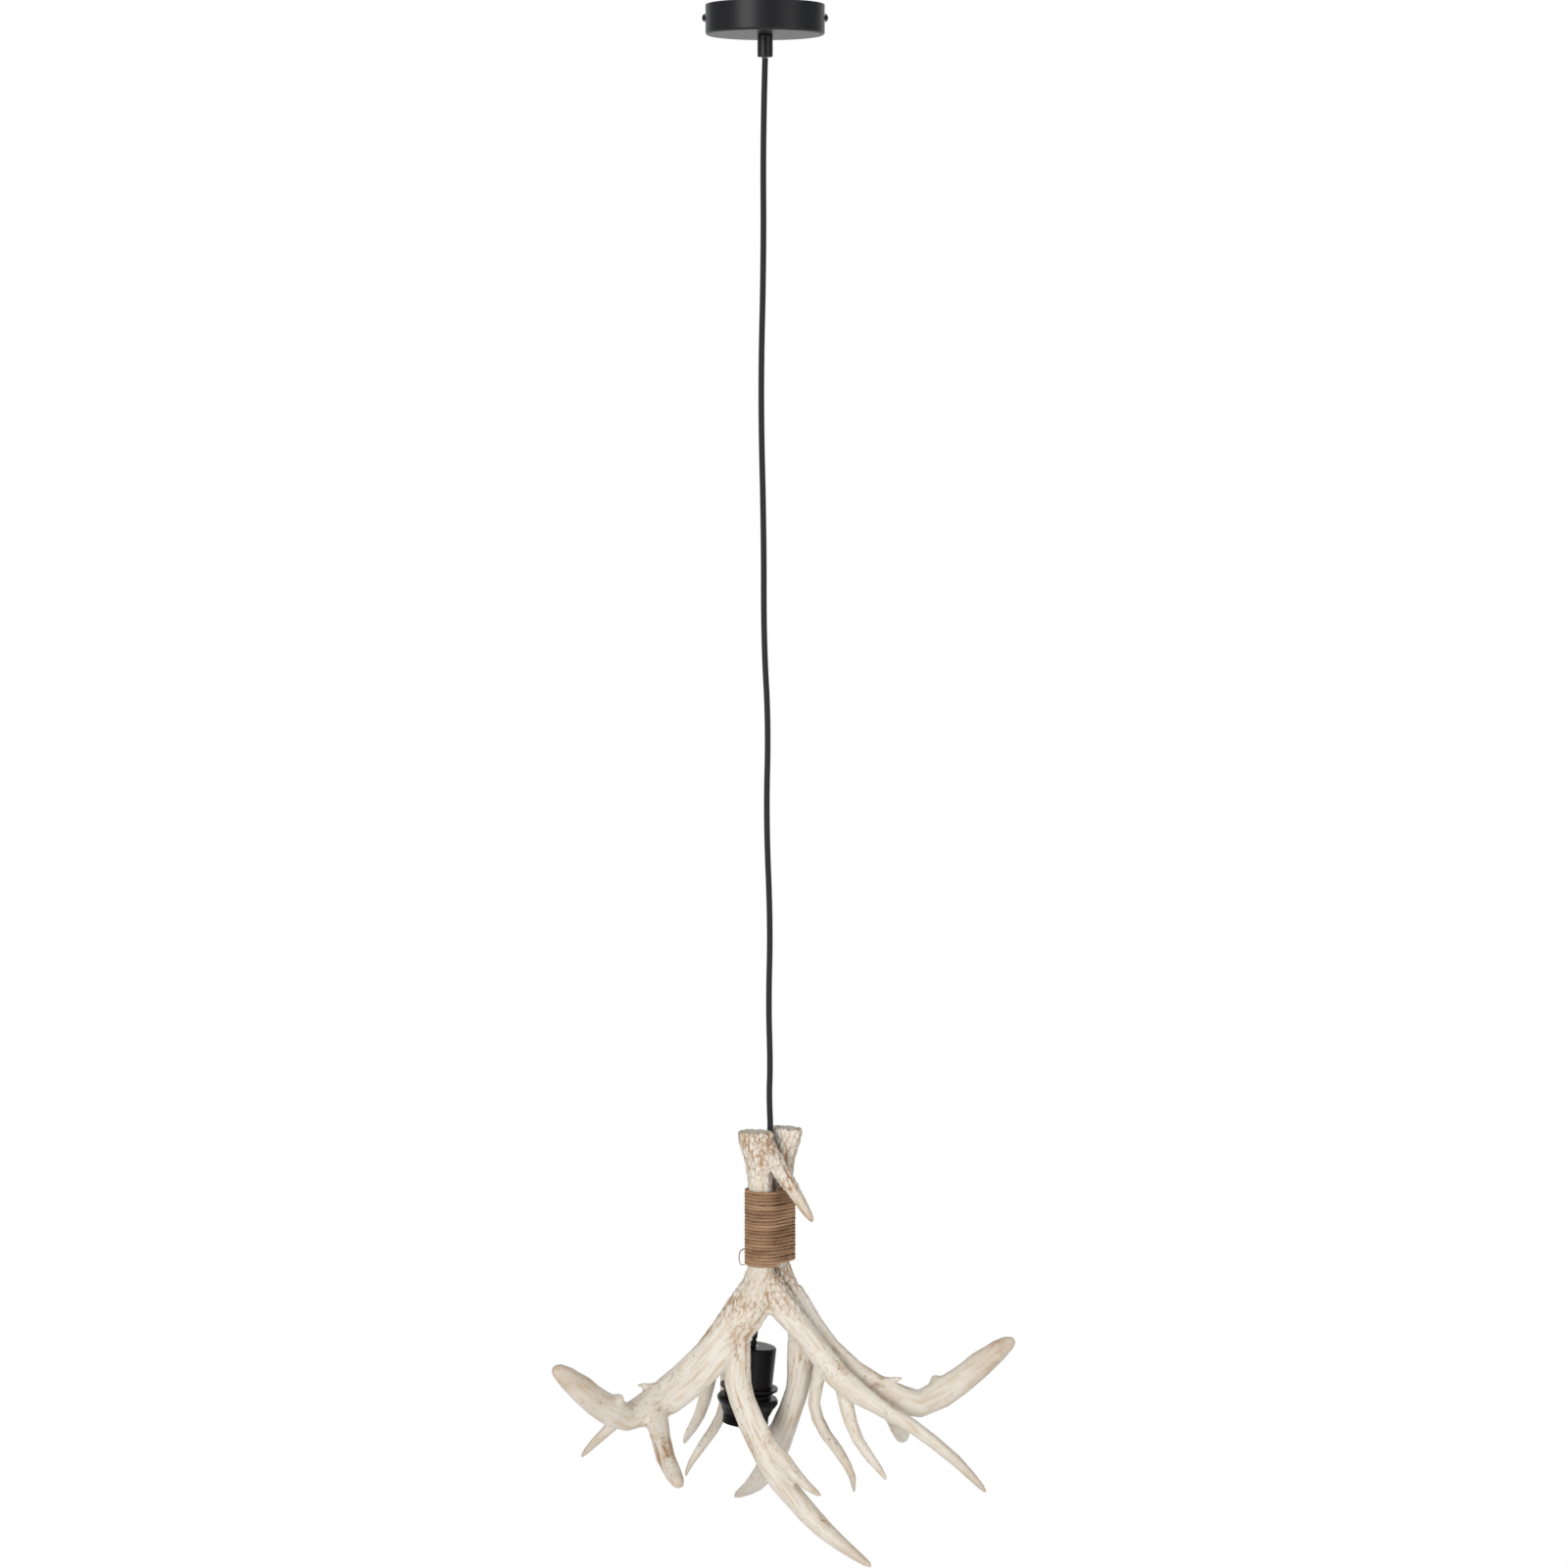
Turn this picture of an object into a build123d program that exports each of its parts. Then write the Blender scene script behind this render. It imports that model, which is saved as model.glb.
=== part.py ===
from build123d import *
import math
import os

# A hanging light: a black ceiling canopy, a textile cord, two antler castings
# bound back to back with twine, and a black lamp holder hanging between them.
# Millimetres, +Z up. The origin is the middle of the canopy's ceiling face.
# The photograph looks along +Y, with +X to the right.

os.makedirs("parts", exist_ok=True)

# ---------------------------------------------------------------- driving sizes
seat_gap = 0.3           # air between pieces that rest on each other
slip_gap = 0.1           # radial air round screws in their holes

# canopy
canopy_od = 120.0
canopy_height = 30.0
canopy_wall = 1.2
canopy_edge_radius = 2.5

# ceiling bracket
bracket_width = 20.0
bracket_thick = 2.0
bracket_leg = 19.0
slot_spacing = 60.0
slot_length = 14.0
slot_width = 5.0

# screws of the canopy and of the earth terminal
side_screw_d = 4.0
side_screw_z = -13.0
side_screw_head_d = 8.6
side_screw_head_h = 3.2
side_screw_length = 9.0
earth_screw_d = 4.0
earth_screw_length = 8.0
earth_screw_x = 14.0
earth_nut_across = 7.0
earth_nut_h = 3.2

# cord and its grip
cord_d = 6.0
core_d = 1.9
grip_d = 15.5
grip_drop = 22.0
grip_slot = 1.6
grip_thread_d = 9.8
grip_thread_h = 9.0
grip_nut_across = 14.0
grip_nut_h = 3.0
grip_screw_d = 3.0
grip_screw_length = 4.6
grip_screw_z = -44.0

# terminal block
block_length = 26.0
block_depth = 13.0
block_height = 11.0
block_x = -27.0
block_pitch = 8.0
block_bore = 3.2
block_screw_d = 2.8

# antler castings: the rear one is the front one turned about a leaning line
turn_angle = 149.6
turn_lean_x = 0.014
turn_lean_y = 0.011
turn_height = -1350.0
rear_lift = 1.4
cord_channel_d = 7.4

# neck fixings
neck_bolt_d = 4.0
neck_bolt_seat = 18.2      # half the distance between the head's and the nut's seats
neck_bolt_head_d = 7.0
neck_bolt_head_h = 3.0
neck_bolt_offset = 8.0
neck_bolt_heights = (-1218.0, -1262.0)
neck_nut_across = 7.0
neck_nut_h = 3.2
ferrule_d = 10.0
ferrule_length = 18.0
ferrule_z = -1240.0

# twine winding
twine_d = 2.95
twine_turns = 23
twine_pitch = 3.4
twine_top = -1199.5
twine_x = 4.65
twine_y = -0.85
twine_heading = 51.0
twine_half_run = 10.7
twine_end_radius = 17.9

# lamp holder, in its own frame: z = 0 on the cup's top, its axis along -Z
holder_x = -12.5
holder_y = 22.0
holder_z = -1369.5
holder_lean = 6.2
cup_d = 48.0
cup_height = 42.0
cup_wall = 1.6
cup_chamfer = 1.4
flange_d = 60.0
flange_thick = 2.4
skirt_d = 47.6
skirt_bottom = -82.0
skirt_wall = 3.0
skirt_thread_pitch = 3.2
skirt_thread_depth = 0.8
skirt_thread_rings = 4
ring_top_z = -53.0
ring_d = 63.2
ring_bottom_z = -71.0
ring_thread_gap = 0.35
insulator_top_z = -38.0
insulator_floor = 5.0
insulator_bottom_z = -75.5
shell_bore_d = 26.8
shell_wall = 0.6
shell_length = 22.0
shell_mouth_z = -74.0
contact_d = 7.0
contact_drop = 6.0
side_contact_width = 4.0
holder_nipple_d = 10.0
holder_nipple_length = 12.0
holder_nut_across = 14.0
holder_nut_h = 3.0
nipple_screw_d = 3.0
nipple_screw_z = -8.6
terminal_screw_d = 3.0
terminal_head_d = 5.6
terminal_head_h = 2.2
terminal_offset = 9.0
sheath_in_cup = 14.0
cup_groove_z = -3.6
cup_groove_depth = 0.4
flange_taper = 5.0
drop_above_cup = 24.5      # where the cord bends over the lamp holder
swing_above_cup = 4.0      # the cord's bending point just above the cup


# ---------------------------------------------------------------- small makers
def rod(diameter, low, high, x=0.0, y=0.0):
    """A plain round bar standing on z = low and ending at z = high."""
    bar = Cylinder(diameter / 2, high - low, align=(Align.CENTER, Align.CENTER, Align.MIN))
    return Pos(x, y, low) * bar


def hexagon(across, low, high, x=0.0, y=0.0):
    """A hexagonal bar, such as a nut without its bore."""
    outline = RegularPolygon(across / 2, 6, major_radius=False)
    return Pos(x, y, low) * extrude(outline, high - low)


def domed_head(diameter, height):
    """A low dome on z = 0, as on a pan-head screw."""
    ball_radius = (diameter ** 2 / 4 + height ** 2) / (2 * height)
    ball = Pos(0, 0, height - ball_radius) * Sphere(ball_radius)
    return ball & rod(diameter, 0, height + 1)


def half_ball(diameter):
    """The upper half of a ball, flat on z = 0."""
    return Sphere(diameter / 2, arc_size1=0, align=(Align.CENTER, Align.CENTER, Align.MIN))


def write(name, *solids):
    """Writes one named node from one or more separate solids."""
    shape = solids[0] if len(solids) == 1 else Compound(children=list(solids))
    export_step(shape, "parts/" + name + ".step")


# ---------------------------------------------------------------- canopy
# A spun steel cup, open to the ceiling, with a hole for the grip in its floor.
# A slot on each side runs up to the rim, so the cup drops once its screws are loose.
canopy_radius = canopy_od / 2
canopy_inside = canopy_radius - canopy_wall
canopy_block = rod(canopy_od, -canopy_height, 0)
floor_edge = canopy_block.edges().group_by(Axis.Z)[0]
canopy_block = fillet(floor_edge, canopy_edge_radius)
canopy = canopy_block - rod(2 * canopy_inside, -canopy_height + canopy_wall, 1)
canopy -= rod(grip_thread_d + 2 * slip_gap, -canopy_height - 1, 0)
side_screw_axis = Pos(0, 0, side_screw_z) * Rot(0, 90, 0)
canopy -= side_screw_axis * rod(side_screw_d + 2 * slip_gap, -canopy_od, canopy_od)
side_slot = Box(2 * canopy_od, side_screw_d + 2 * slip_gap, -2 * side_screw_z)
canopy -= side_slot
canopy_floor = -canopy_height + canopy_wall
write("canopy", canopy)

# ---------------------------------------------------------------- ceiling bracket
# A bent steel strap. Its two legs hold the side screws inside the canopy.
bracket_reach = canopy_inside - seat_gap
strap = Pos(0, 0, -bracket_thick / 2) * Box(2 * bracket_reach, bracket_width, bracket_thick)
bracket_legs = []
for side in (-1, 1):
    leg_x = side * (bracket_reach - bracket_thick / 2)
    leg = Pos(leg_x, 0, -bracket_leg / 2) * Box(bracket_thick, bracket_width, bracket_leg)
    bracket_legs.append(leg)
bracket = strap + bracket_legs[0] + bracket_legs[1]
bracket = bracket & rod(2 * bracket_reach, -bracket_leg, 0)
for side in (-1, 1):
    slot = Pos(side * slot_spacing / 2, 0, -bracket_thick) * SlotOverall(slot_length, slot_width)
    bracket -= extrude(slot, 2 * bracket_thick, both=True)
bracket -= side_screw_axis * rod(side_screw_d, -canopy_od, canopy_od)
bracket -= rod(earth_screw_d, -canopy_height, 1, earth_screw_x)
write("ceiling_bracket", bracket)

# ---------------------------------------------------------------- side screws
# Two domed screws go through the canopy's slots into the bracket's legs.
side_screws = []
for side in (-1, 1):
    shank = rod(side_screw_d - 2 * slip_gap, -side_screw_length, 0)
    screw = shank + domed_head(side_screw_head_d, side_screw_head_h)
    drive = Box(side_screw_head_d, 0.9, 1.4)
    screw -= Pos(0, 0, side_screw_head_h) * drive
    head_x = side * (canopy_radius + seat_gap)
    seat = Pos(head_x, 0, side_screw_z) * Rot(0, side * 90, 0)
    side_screws.append(seat * screw)
write("canopy_side_screws", *side_screws)

# ---------------------------------------------------------------- earth terminal
# An earth stud is pressed into the bracket, with its nut below.
earth_stud = rod(earth_screw_d - 2 * slip_gap, -earth_screw_length, -slip_gap)
earth_nut = hexagon(earth_nut_across, -bracket_thick - earth_nut_h, -bracket_thick)
earth_nut -= rod(earth_screw_d, -earth_screw_length, 0)
write("earth_stud", Pos(earth_screw_x, 0, 0) * earth_stud)
write("earth_nut", Pos(earth_screw_x, 0, 0) * earth_nut)

# ---------------------------------------------------------------- cord grip
# A black plastic sleeve under the canopy: its thread goes up through the floor,
# and a screw in its side pinches the cord.
grip_bottom = -canopy_height - grip_drop
grip_sleeve = rod(grip_d, grip_bottom, -canopy_height)
grip_rims = grip_sleeve.edges().filter_by(GeomType.CIRCLE)
grip_sleeve = chamfer(grip_rims, 0.8)
grip_thread = rod(grip_thread_d, -canopy_height, canopy_floor + grip_thread_h)
grip = grip_sleeve + grip_thread
grip -= rod(cord_d + 2 * slip_gap, grip_bottom - 1, 0)
grip_groove = Pos(0, -grip_d / 2, grip_bottom + grip_drop / 2)
grip -= grip_groove * Box(grip_slot, 3.0, grip_drop - 5)
grip_screw_axis = Pos(0, 0, grip_screw_z) * Rot(0, 90, 0)
grip -= grip_screw_axis * rod(grip_screw_d, 0, grip_d)
write("cord_grip", grip)

grip_screw_start = cord_d / 2 + seat_gap
grip_screw = rod(grip_screw_d - 2 * slip_gap, grip_screw_start, grip_screw_start + grip_screw_length)
grip_screw -= Pos(0, 0, grip_screw_start + grip_screw_length) * Box(3.0, 0.6, 1.2)
write("grip_screw", grip_screw_axis * grip_screw)

grip_nut_low = canopy_floor
grip_nut = hexagon(grip_nut_across, grip_nut_low, grip_nut_low + grip_nut_h)
grip_nut -= rod(grip_thread_d + 2 * slip_gap, canopy_floor - 1, 0)
write("grip_nut", grip_nut)

# ---------------------------------------------------------------- terminal block
# A three-pole block screwed to the canopy's floor, beside the cord.
block_low = canopy_floor
block = Pos(block_x, 0, block_low + block_height / 2)
block = block * Box(block_depth, block_length, block_height)
block = fillet(block.edges().filter_by(Axis.Z), 1.5)
pole_offsets = [-block_pitch, 0.0, block_pitch]
pole_z = block_low + block_height / 2
for offset in pole_offsets:
    pole_bore = Pos(block_x, offset, pole_z) * Rot(0, 90, 0) * rod(block_bore, -20, 20)
    block -= pole_bore
    block -= rod(block_screw_d + 2 * slip_gap, pole_z, 0, block_x + 3.2, offset)
write("terminal_block", block)

pole_screws = []
for offset in pole_offsets:
    screw_low = pole_z + core_d / 2 + slip_gap
    pole_screw = rod(block_screw_d, screw_low, block_low + block_height - 0.6, block_x + 3.2, offset)
    pole_screw -= Pos(block_x + 3.2, offset, block_low + block_height - 0.6) * Box(4, 0.5, 0.8)
    pole_screws.append(pole_screw)
write("terminal_screws", *pole_screws)

# ---------------------------------------------------------------- cord in the canopy
# The cord's sheath ends just above the grip, and its three cores run to the block.
sheath_end = canopy_floor + grip_thread_h + 2.0
cord_head = rod(cord_d, grip_bottom, sheath_end)
write("cord_head", cord_head)


def core(offset_y):
    """One insulated core, from the end of the sheath into its pole."""
    start_x = -0.9 if offset_y else 1.2
    start_y = math.copysign(1.2, offset_y) if offset_y else 0.0
    bend_z = sheath_end + (6.5 if offset_y else 9.0)
    points = [
        Vector(start_x, start_y, sheath_end),
        Vector(start_x, start_y, bend_z),
        Vector(start_x - 8.0, start_y + 0.4 * offset_y, bend_z),
        Vector(block_x + block_depth / 2 + 7.0, offset_y, pole_z),
        Vector(block_x + 1.0, offset_y, pole_z),
    ]
    line = FilletPolyline(*points, radius=[2.6, 2.6, 3.0])
    return sweep(Plane(origin=points[0], z_dir=(0, 0, 1)) * Circle(core_d / 2), path=line)


write("core_live", core(block_pitch))
write("core_earth", core(0.0))
write("core_neutral", core(-block_pitch))


# ---------------------------------------------------------------- antler casting
def oval_limb(rows, breaks=()):
    """A tapering limb, lofted through ovals along its line. Each row holds a point,
    the oval's half width and half depth, the heading of its depth and its lean.
    A limb that bends far is lofted in stretches that meet at the rows in breaks."""
    points = [Vector(*row[:3]) for row in rows]
    ovals = []
    for index, (x, y, z, half_width, half_depth, heading, lean) in enumerate(rows):
        before = points[max(index - 1, 0)]
        after = points[min(index + 1, len(rows) - 1)]
        along = (after - before).normalized()
        level = math.cos(math.radians(lean))
        depth = Vector(
            math.cos(math.radians(heading)) * level,
            math.sin(math.radians(heading)) * level,
            -math.sin(math.radians(lean)),
        )
        across = depth.cross(along).normalized()
        plane = Plane(origin=points[index], x_dir=across, z_dir=along)
        ovals.append(plane * Ellipse(half_width, half_depth))
    ends = [0, *breaks, len(rows) - 1]
    limb = loft(ovals[:ends[1] + 1], ruled=True)
    for first, last in zip(ends[1:], ends[2:]):
        limb += loft(ovals[first:last + 1], ruled=True)
    frustums = 0.0
    for start, end, row, next_row in zip(points, points[1:], rows, rows[1:]):
        middle_width = (row[3] + next_row[3]) / 2
        middle_depth = (row[4] + next_row[4]) / 2
        area_sum = row[3] * row[4] + next_row[3] * next_row[4] + 4 * middle_width * middle_depth
        frustums += math.pi * (end - start).length * area_sum / 6
    print("limb volume share", round(limb.volume / frustums, 3))
    return limb


def tine(rows, heading=90.0):
    """A round tine: rows of a point and a radius."""
    return oval_limb([(x, y, z, radius, radius, heading, 0.0) for x, y, z, radius in rows])


# The neck runs down from the burr into the left limb, the beam and the paddle.
neck_and_beam = [
    (-10.0, -12.0, -1140.5, 19.0, 14.0, 75, 0),
    (-10.0, -12.0, -1149.0, 18.2, 13.6, 75, 0),
    (-7.2, -12.0, -1169.0, 14.6, 12.4, 65, 0),
    (-5.4, -12.2, -1189.0, 13.2, 11.5, 55, 0),
    (-4.7, -12.2, -1215.0, 13.6, 11.5, 52, 0),
    (-4.7, -12.2, -1250.0, 14.6, 11.6, 52, 0),
    (-4.7, -12.4, -1280.0, 14.6, 11.6, 52, 0),
    (-6.0, -14.0, -1297.0, 17.6, 12.6, 66, 0),
    (-12.0, -16.5, -1313.0, 21.0, 12.8, 82, 5),
    (-23.0, -19.0, -1330.0, 22.0, 12.6, 92, 12),
    (-38.0, -22.5, -1350.0, 21.0, 12.4, 98, 20),
    (-56.0, -29.0, -1371.5, 20.0, 11.8, 102, 26),
    (-79.0, -39.0, -1392.5, 20.0, 11.0, 106, 28),
    (-101.5, -52.0, -1408.0, 19.5, 10.8, 110, 24),
    (-122.5, -66.0, -1417.5, 17.0, 10.8, 116, 14),
    (-140.0, -80.0, -1421.7, 14.5, 11.0, 120, 0),
    (-154.5, -98.0, -1412.0, 15.5, 10.5, 122, 0),
    (-169.0, -112.0, -1399.0, 14.8, 9.8, 122, 0),
    (-183.0, -127.0, -1383.0, 14.0, 8.8, 122, 0),
    (-197.0, -140.0, -1368.0, 11.5, 7.4, 122, 0),
    (-206.5, -147.5, -1359.5, 7.5, 5.2, 122, 0),
    (-210.8, -150.3, -1356.8, 3.4, 2.6, 122, 0),
]
right_limb = [
    (1.0, -13.0, -1292.0, 12.0, 10.4, 75, 0),
    (7.0, -17.0, -1305.5, 16.0, 11.5, 85, 0),
    (17.0, -20.0, -1319.0, 15.0, 11.5, 90, 0),
    (30.0, -23.5, -1335.0, 13.5, 11.0, 90, 0),
    (45.0, -27.5, -1353.0, 12.8, 10.5, 90, 0),
    (61.0, -29.5, -1374.0, 13.0, 10.4, 90, 0),
    (75.0, -33.0, -1390.5, 14.0, 9.6, 90, 0),
    (94.0, -34.0, -1407.0, 12.0, 8.8, 90, 0),
    (114.5, -32.5, -1420.0, 9.6, 8.2, 90, 0),
    (150.5, -26.0, -1443.5, 7.4, 7.4, 90, 0),
    (172.0, -21.0, -1460.5, 6.9, 6.9, 90, 0),
    (195.5, -15.0, -1481.5, 6.2, 6.2, 90, 0),
    (211.5, -12.0, -1498.5, 4.8, 4.8, 90, 0),
    (222.0, -11.0, -1510.0, 3.4, 3.4, 90, 0),
    (227.0, -10.0, -1516.5, 1.6, 1.6, 90, 0),
]
long_tine = [
    (-30.0, -21.0, -1345.0, 14.0, 11.0, 92, 0),
    (-30.0, -22.0, -1365.0, 15.0, 11.0, 92, 0),
    (-29.5, -22.5, -1386.0, 14.5, 10.6, 92, 0),
    (-28.0, -24.0, -1400.0, 14.0, 10.4, 84, 0),
    (-23.8, -27.0, -1416.0, 13.6, 10.0, 72, 0),
    (-14.2, -30.5, -1439.0, 14.4, 9.8, 66, 0),
    (-4.0, -35.0, -1458.5, 14.6, 11.2, 80, 0),
    (5.0, -41.0, -1477.5, 13.4, 11.8, 100, 0),
    (15.0, -50.0, -1494.5, 12.0, 11.4, 125, 0),
    (44.0, -78.0, -1522.0, 11.2, 10.6, 130, 0),
    (59.5, -92.0, -1534.5, 9.8, 9.2, 130, 0),
    (75.5, -106.0, -1545.0, 7.8, 7.4, 130, 0),
    (91.0, -118.0, -1554.0, 5.6, 5.4, 130, 0),
    (101.0, -125.5, -1559.5, 4.0, 3.8, 130, 0),
    (106.5, -129.0, -1562.5, 2.0, 2.0, 130, 0),
]
prong = [
    (3.0, -36.0, -1457.0, 7.0),
    (10.0, -42.0, -1465.5, 9.0),
    (19.0, -51.0, -1475.0, 9.0),
    (30.0, -64.0, -1485.0, 7.4),
    (42.0, -76.0, -1493.5, 5.2),
    (51.0, -84.0, -1498.0, 3.4),
    (56.5, -89.0, -1500.5, 1.6),
]
blunt_tine = [
    (-112.0, -60.0, -1420.0, 12.0),
    (-109.0, -74.0, -1431.0, 11.5),
    (-105.5, -90.0, -1441.0, 10.2),
    (-100.0, -110.0, -1456.0, 9.8),
    (-92.0, -131.0, -1467.5, 8.8),
    (-87.0, -142.0, -1473.5, 7.0),
    (-84.5, -146.5, -1476.5, 4.0),
]
spur = [
    (-104.0, -46.0, -1402.0, 7.0),
    (-114.0, -52.0, -1397.5, 5.6),
    (-123.0, -57.0, -1394.5, 3.6),
    (-130.0, -60.0, -1393.0, 1.4),
]
first_tine = [
    (58.0, -29.0, -1376.0, 8.5),
    (53.0, -23.0, -1399.0, 7.0),
    (49.8, -15.0, -1422.0, 6.5),
    (53.5, -9.0, -1439.0, 6.4),
    (62.5, -6.0, -1457.0, 6.1),
    (74.5, -5.0, -1473.5, 5.8),
    (84.5, -4.0, -1490.0, 4.8),
    (90.0, -3.5, -1503.0, 3.8),
    (91.5, -3.5, -1517.5, 1.5),
]
second_tine = [
    (76.0, -30.0, -1388.0, 9.0),
    (80.5, -26.0, -1407.5, 8.4),
    (83.5, -26.0, -1424.0, 7.6),
    (87.5, -28.0, -1439.5, 6.6),
    (95.0, -31.0, -1457.0, 6.0),
    (106.0, -36.0, -1472.5, 5.3),
    (116.0, -42.0, -1484.0, 4.0),
    (121.5, -47.0, -1491.0, 2.6),
    (123.5, -49.0, -1494.0, 1.4),
]
brow_tine = [
    (0.0, -14.0, -1152.0, 9.0),
    (7.0, -19.0, -1166.0, 10.0),
    (16.0, -26.0, -1179.5, 8.6),
    (27.0, -32.0, -1195.5, 7.4),
    (38.0, -35.0, -1213.0, 5.8),
    (45.5, -36.5, -1225.0, 4.0),
    (48.5, -37.0, -1230.0, 1.8),
]
# The rear casting's first tine was bent back to clear the shade ring, so its
# line is its own, in the rear casting's place.
rear_first_tine = [
    (-38.5, 58.5, -1378.0, 8.5),
    (-41.0, 58.5, -1402.0, 7.0),
    (-41.5, 56.5, -1422.0, 6.2),
    (-42.5, 54.5, -1435.5, 6.0),
    (-46.5, 53.5, -1450.5, 5.8),
    (-54.5, 52.5, -1465.0, 5.6),
    (-67.0, 51.5, -1482.5, 5.0),
    (-77.5, 50.5, -1498.5, 3.6),
    (-82.5, 50.0, -1509.0, 2.4),
    (-83.5, 49.5, -1514.5, 1.3),
]
# Knobs along the paddle's upper edge: a point and a radius.
knobs = [
    (-147.5, -98.0, -1399.0, 6.5),
    (-171.0, -115.0, -1385.5, 6.0),
    (-190.0, -133.0, -1367.0, 5.5),
]


def casting_body():
    """The antler without its first tine."""
    body = oval_limb(neck_and_beam, breaks=(14, 16))
    for limb in (oval_limb(right_limb), oval_limb(long_tine, breaks=(8,))):
        body += limb
    for rows in (prong, blunt_tine, spur, second_tine, brow_tine):
        body += tine(rows)
    for x, y, z, radius in knobs:
        body += Pos(x, y, z) * Sphere(radius)
    return body


turn_axis = Axis((0, 0, turn_height), (turn_lean_x, turn_lean_y, 1))


def to_rear(shape):
    """Takes a shape from the front casting's place to the rear casting's."""
    return Pos(0, 0, rear_lift) * shape.rotate(turn_axis, turn_angle)


body = casting_body()
front = body + tine(first_tine)
rear = to_rear(body) + tine(rear_first_tine)


# ---------------------------------------------------------------- cords
def cord_line(name, points):
    """A cord's line: straight runs joined by arcs as large as the runs allow."""
    radii = []
    for before, corner, after in zip(points, points[1:], points[2:]):
        run_in = corner - before
        run_out = after - corner
        turn = math.radians(run_in.get_angle(run_out))
        radii.append(0.45 * min(run_in.length, run_out.length) / math.tan(turn / 2))
    print(name, "radii", [round(radius, 1) for radius in radii])
    return FilletPolyline(*points, radius=radii)


def cord_tube(name, points, diameter, round_top=False):
    """A cord along its line, with a rounded upper end where it bends there."""
    line = cord_line(name, points)
    start = Plane(origin=points[0], z_dir=points[1] - points[0])
    tube = sweep(start * Circle(diameter / 2), path=line)
    section = math.pi * diameter ** 2 / 4
    print(name, "length", round(line.length, 1), "volume share", round(tube.volume / (section * line.length), 5))
    if round_top:
        top = Plane(origin=points[0], z_dir=points[0] - points[1])
        tube += top * half_ball(diameter)
    return tube


# The lamp holder's own frame: z = 0 on the cup's top, leaning with the cord.
holder_frame = Pos(holder_x, holder_y, holder_z) * Rot(0, holder_lean, 0)


def holder_point(height):
    """A point on the lamp holder's axis, at a height over the cup's top."""
    return (holder_frame * Pos(0, 0, height)).position


# ---------------------------------------------------------------- hanging cord
# It bends just under the grip, and hangs with the photographed slight waves.
cord_bend = Vector(0, 0, grip_bottom - seat_gap - cord_d / 2)
neck_entry = Vector(4.9, -2.4, -1132.0)
cord_points = [
    cord_bend,
    Vector(-2.2, 0.0, -130.0),
    Vector(-1.4, 0.0, -250.0),
    Vector(-4.8, 0.0, -390.0),
    Vector(-1.4, 0.0, -530.0),
    Vector(-1.6, 0.0, -640.0),
    Vector(3.2, 0.0, -725.0),
    Vector(0.7, 0.0, -820.0),
    Vector(5.2, 0.0, -930.0),
    Vector(3.1, 0.0, -1010.0),
    Vector(5.0, 0.0, -1075.0),
    Vector(3.6, -1.6, -1107.0),
    neck_entry,
]
write("cord", cord_tube("cord", cord_points, cord_d, round_top=True))

# ---------------------------------------------------------------- held cord
# The cord goes down between the burrs, through the ferrule between the necks,
# and comes out at the back of the fork, above the lamp holder.
held_start = neck_entry - Vector(0, 0, seat_gap)
neck_lower = Vector(2.4, -0.4, -1290.0)
drop_corner = holder_point(drop_above_cup)
drop_end = holder_point(swing_above_cup + cord_d / 2 + seat_gap)
held_points = [held_start, neck_lower, drop_corner, drop_end]
write("cord_held", cord_tube("cord_held", held_points, cord_d))
channel = cord_tube("channel", held_points, cord_channel_d)

# ---------------------------------------------------------------- ferrule
# A crimped sleeve on the cord, caught in a pocket of the two necks.
ferrule_share = (ferrule_z - held_start.Z) / (neck_lower.Z - held_start.Z)
ferrule_centre = held_start + (neck_lower - held_start) * ferrule_share
ferrule_place = Plane(origin=ferrule_centre, z_dir=held_start - neck_lower)
ferrule_half = ferrule_length / 2
ferrule = rod(ferrule_d, -ferrule_half, ferrule_half)
ferrule -= rod(cord_d + 2 * slip_gap, -ferrule_length, ferrule_length)
write("cord_ferrule", ferrule_place * ferrule)
pocket_half = ferrule_half + seat_gap
ferrule_pocket = ferrule_place * rod(ferrule_d + 2 * seat_gap, -pocket_half, pocket_half)

# ---------------------------------------------------------------- neck bolts
# Two bolts cross both necks, one on each side of the cord, under the winding.
neck_bolts = []
neck_nuts = []
bolt_cuts = []
for side, height in zip((-1, 1), neck_bolt_heights):
    across_necks = Pos(twine_x, twine_y, height) * Rot(0, 0, twine_heading)
    bolt_place = across_necks * Pos(0, side * neck_bolt_offset, 0) * Rot(0, 90, 0)
    nut_end = neck_bolt_seat + neck_nut_h
    head_end = neck_bolt_seat + neck_bolt_head_h
    shank = rod(neck_bolt_d, -neck_bolt_seat, nut_end)
    head = rod(neck_bolt_head_d, -head_end, -neck_bolt_seat)
    head -= hexagon(3.0, -head_end, -head_end + 1.6)
    neck_bolts.append(bolt_place * (shank + head))
    nut = hexagon(neck_nut_across, neck_bolt_seat, nut_end)
    nut -= rod(neck_bolt_d + 2 * slip_gap, neck_bolt_seat, nut_end)
    neck_nuts.append(bolt_place * nut)
    hole = rod(neck_bolt_d + 2 * slip_gap, -neck_bolt_seat, neck_bolt_seat)
    head_pocket = rod(neck_bolt_head_d + 2 * slip_gap, -2 * head_end, -neck_bolt_seat)
    nut_corner_d = neck_nut_across / math.cos(math.radians(30))
    nut_pocket = rod(nut_corner_d + 2 * slip_gap, neck_bolt_seat, 2 * head_end)
    bolt_cuts.append(bolt_place * (hole + head_pocket + nut_pocket))
write("neck_bolts", *neck_bolts)
write("neck_nuts", *neck_nuts)

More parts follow.
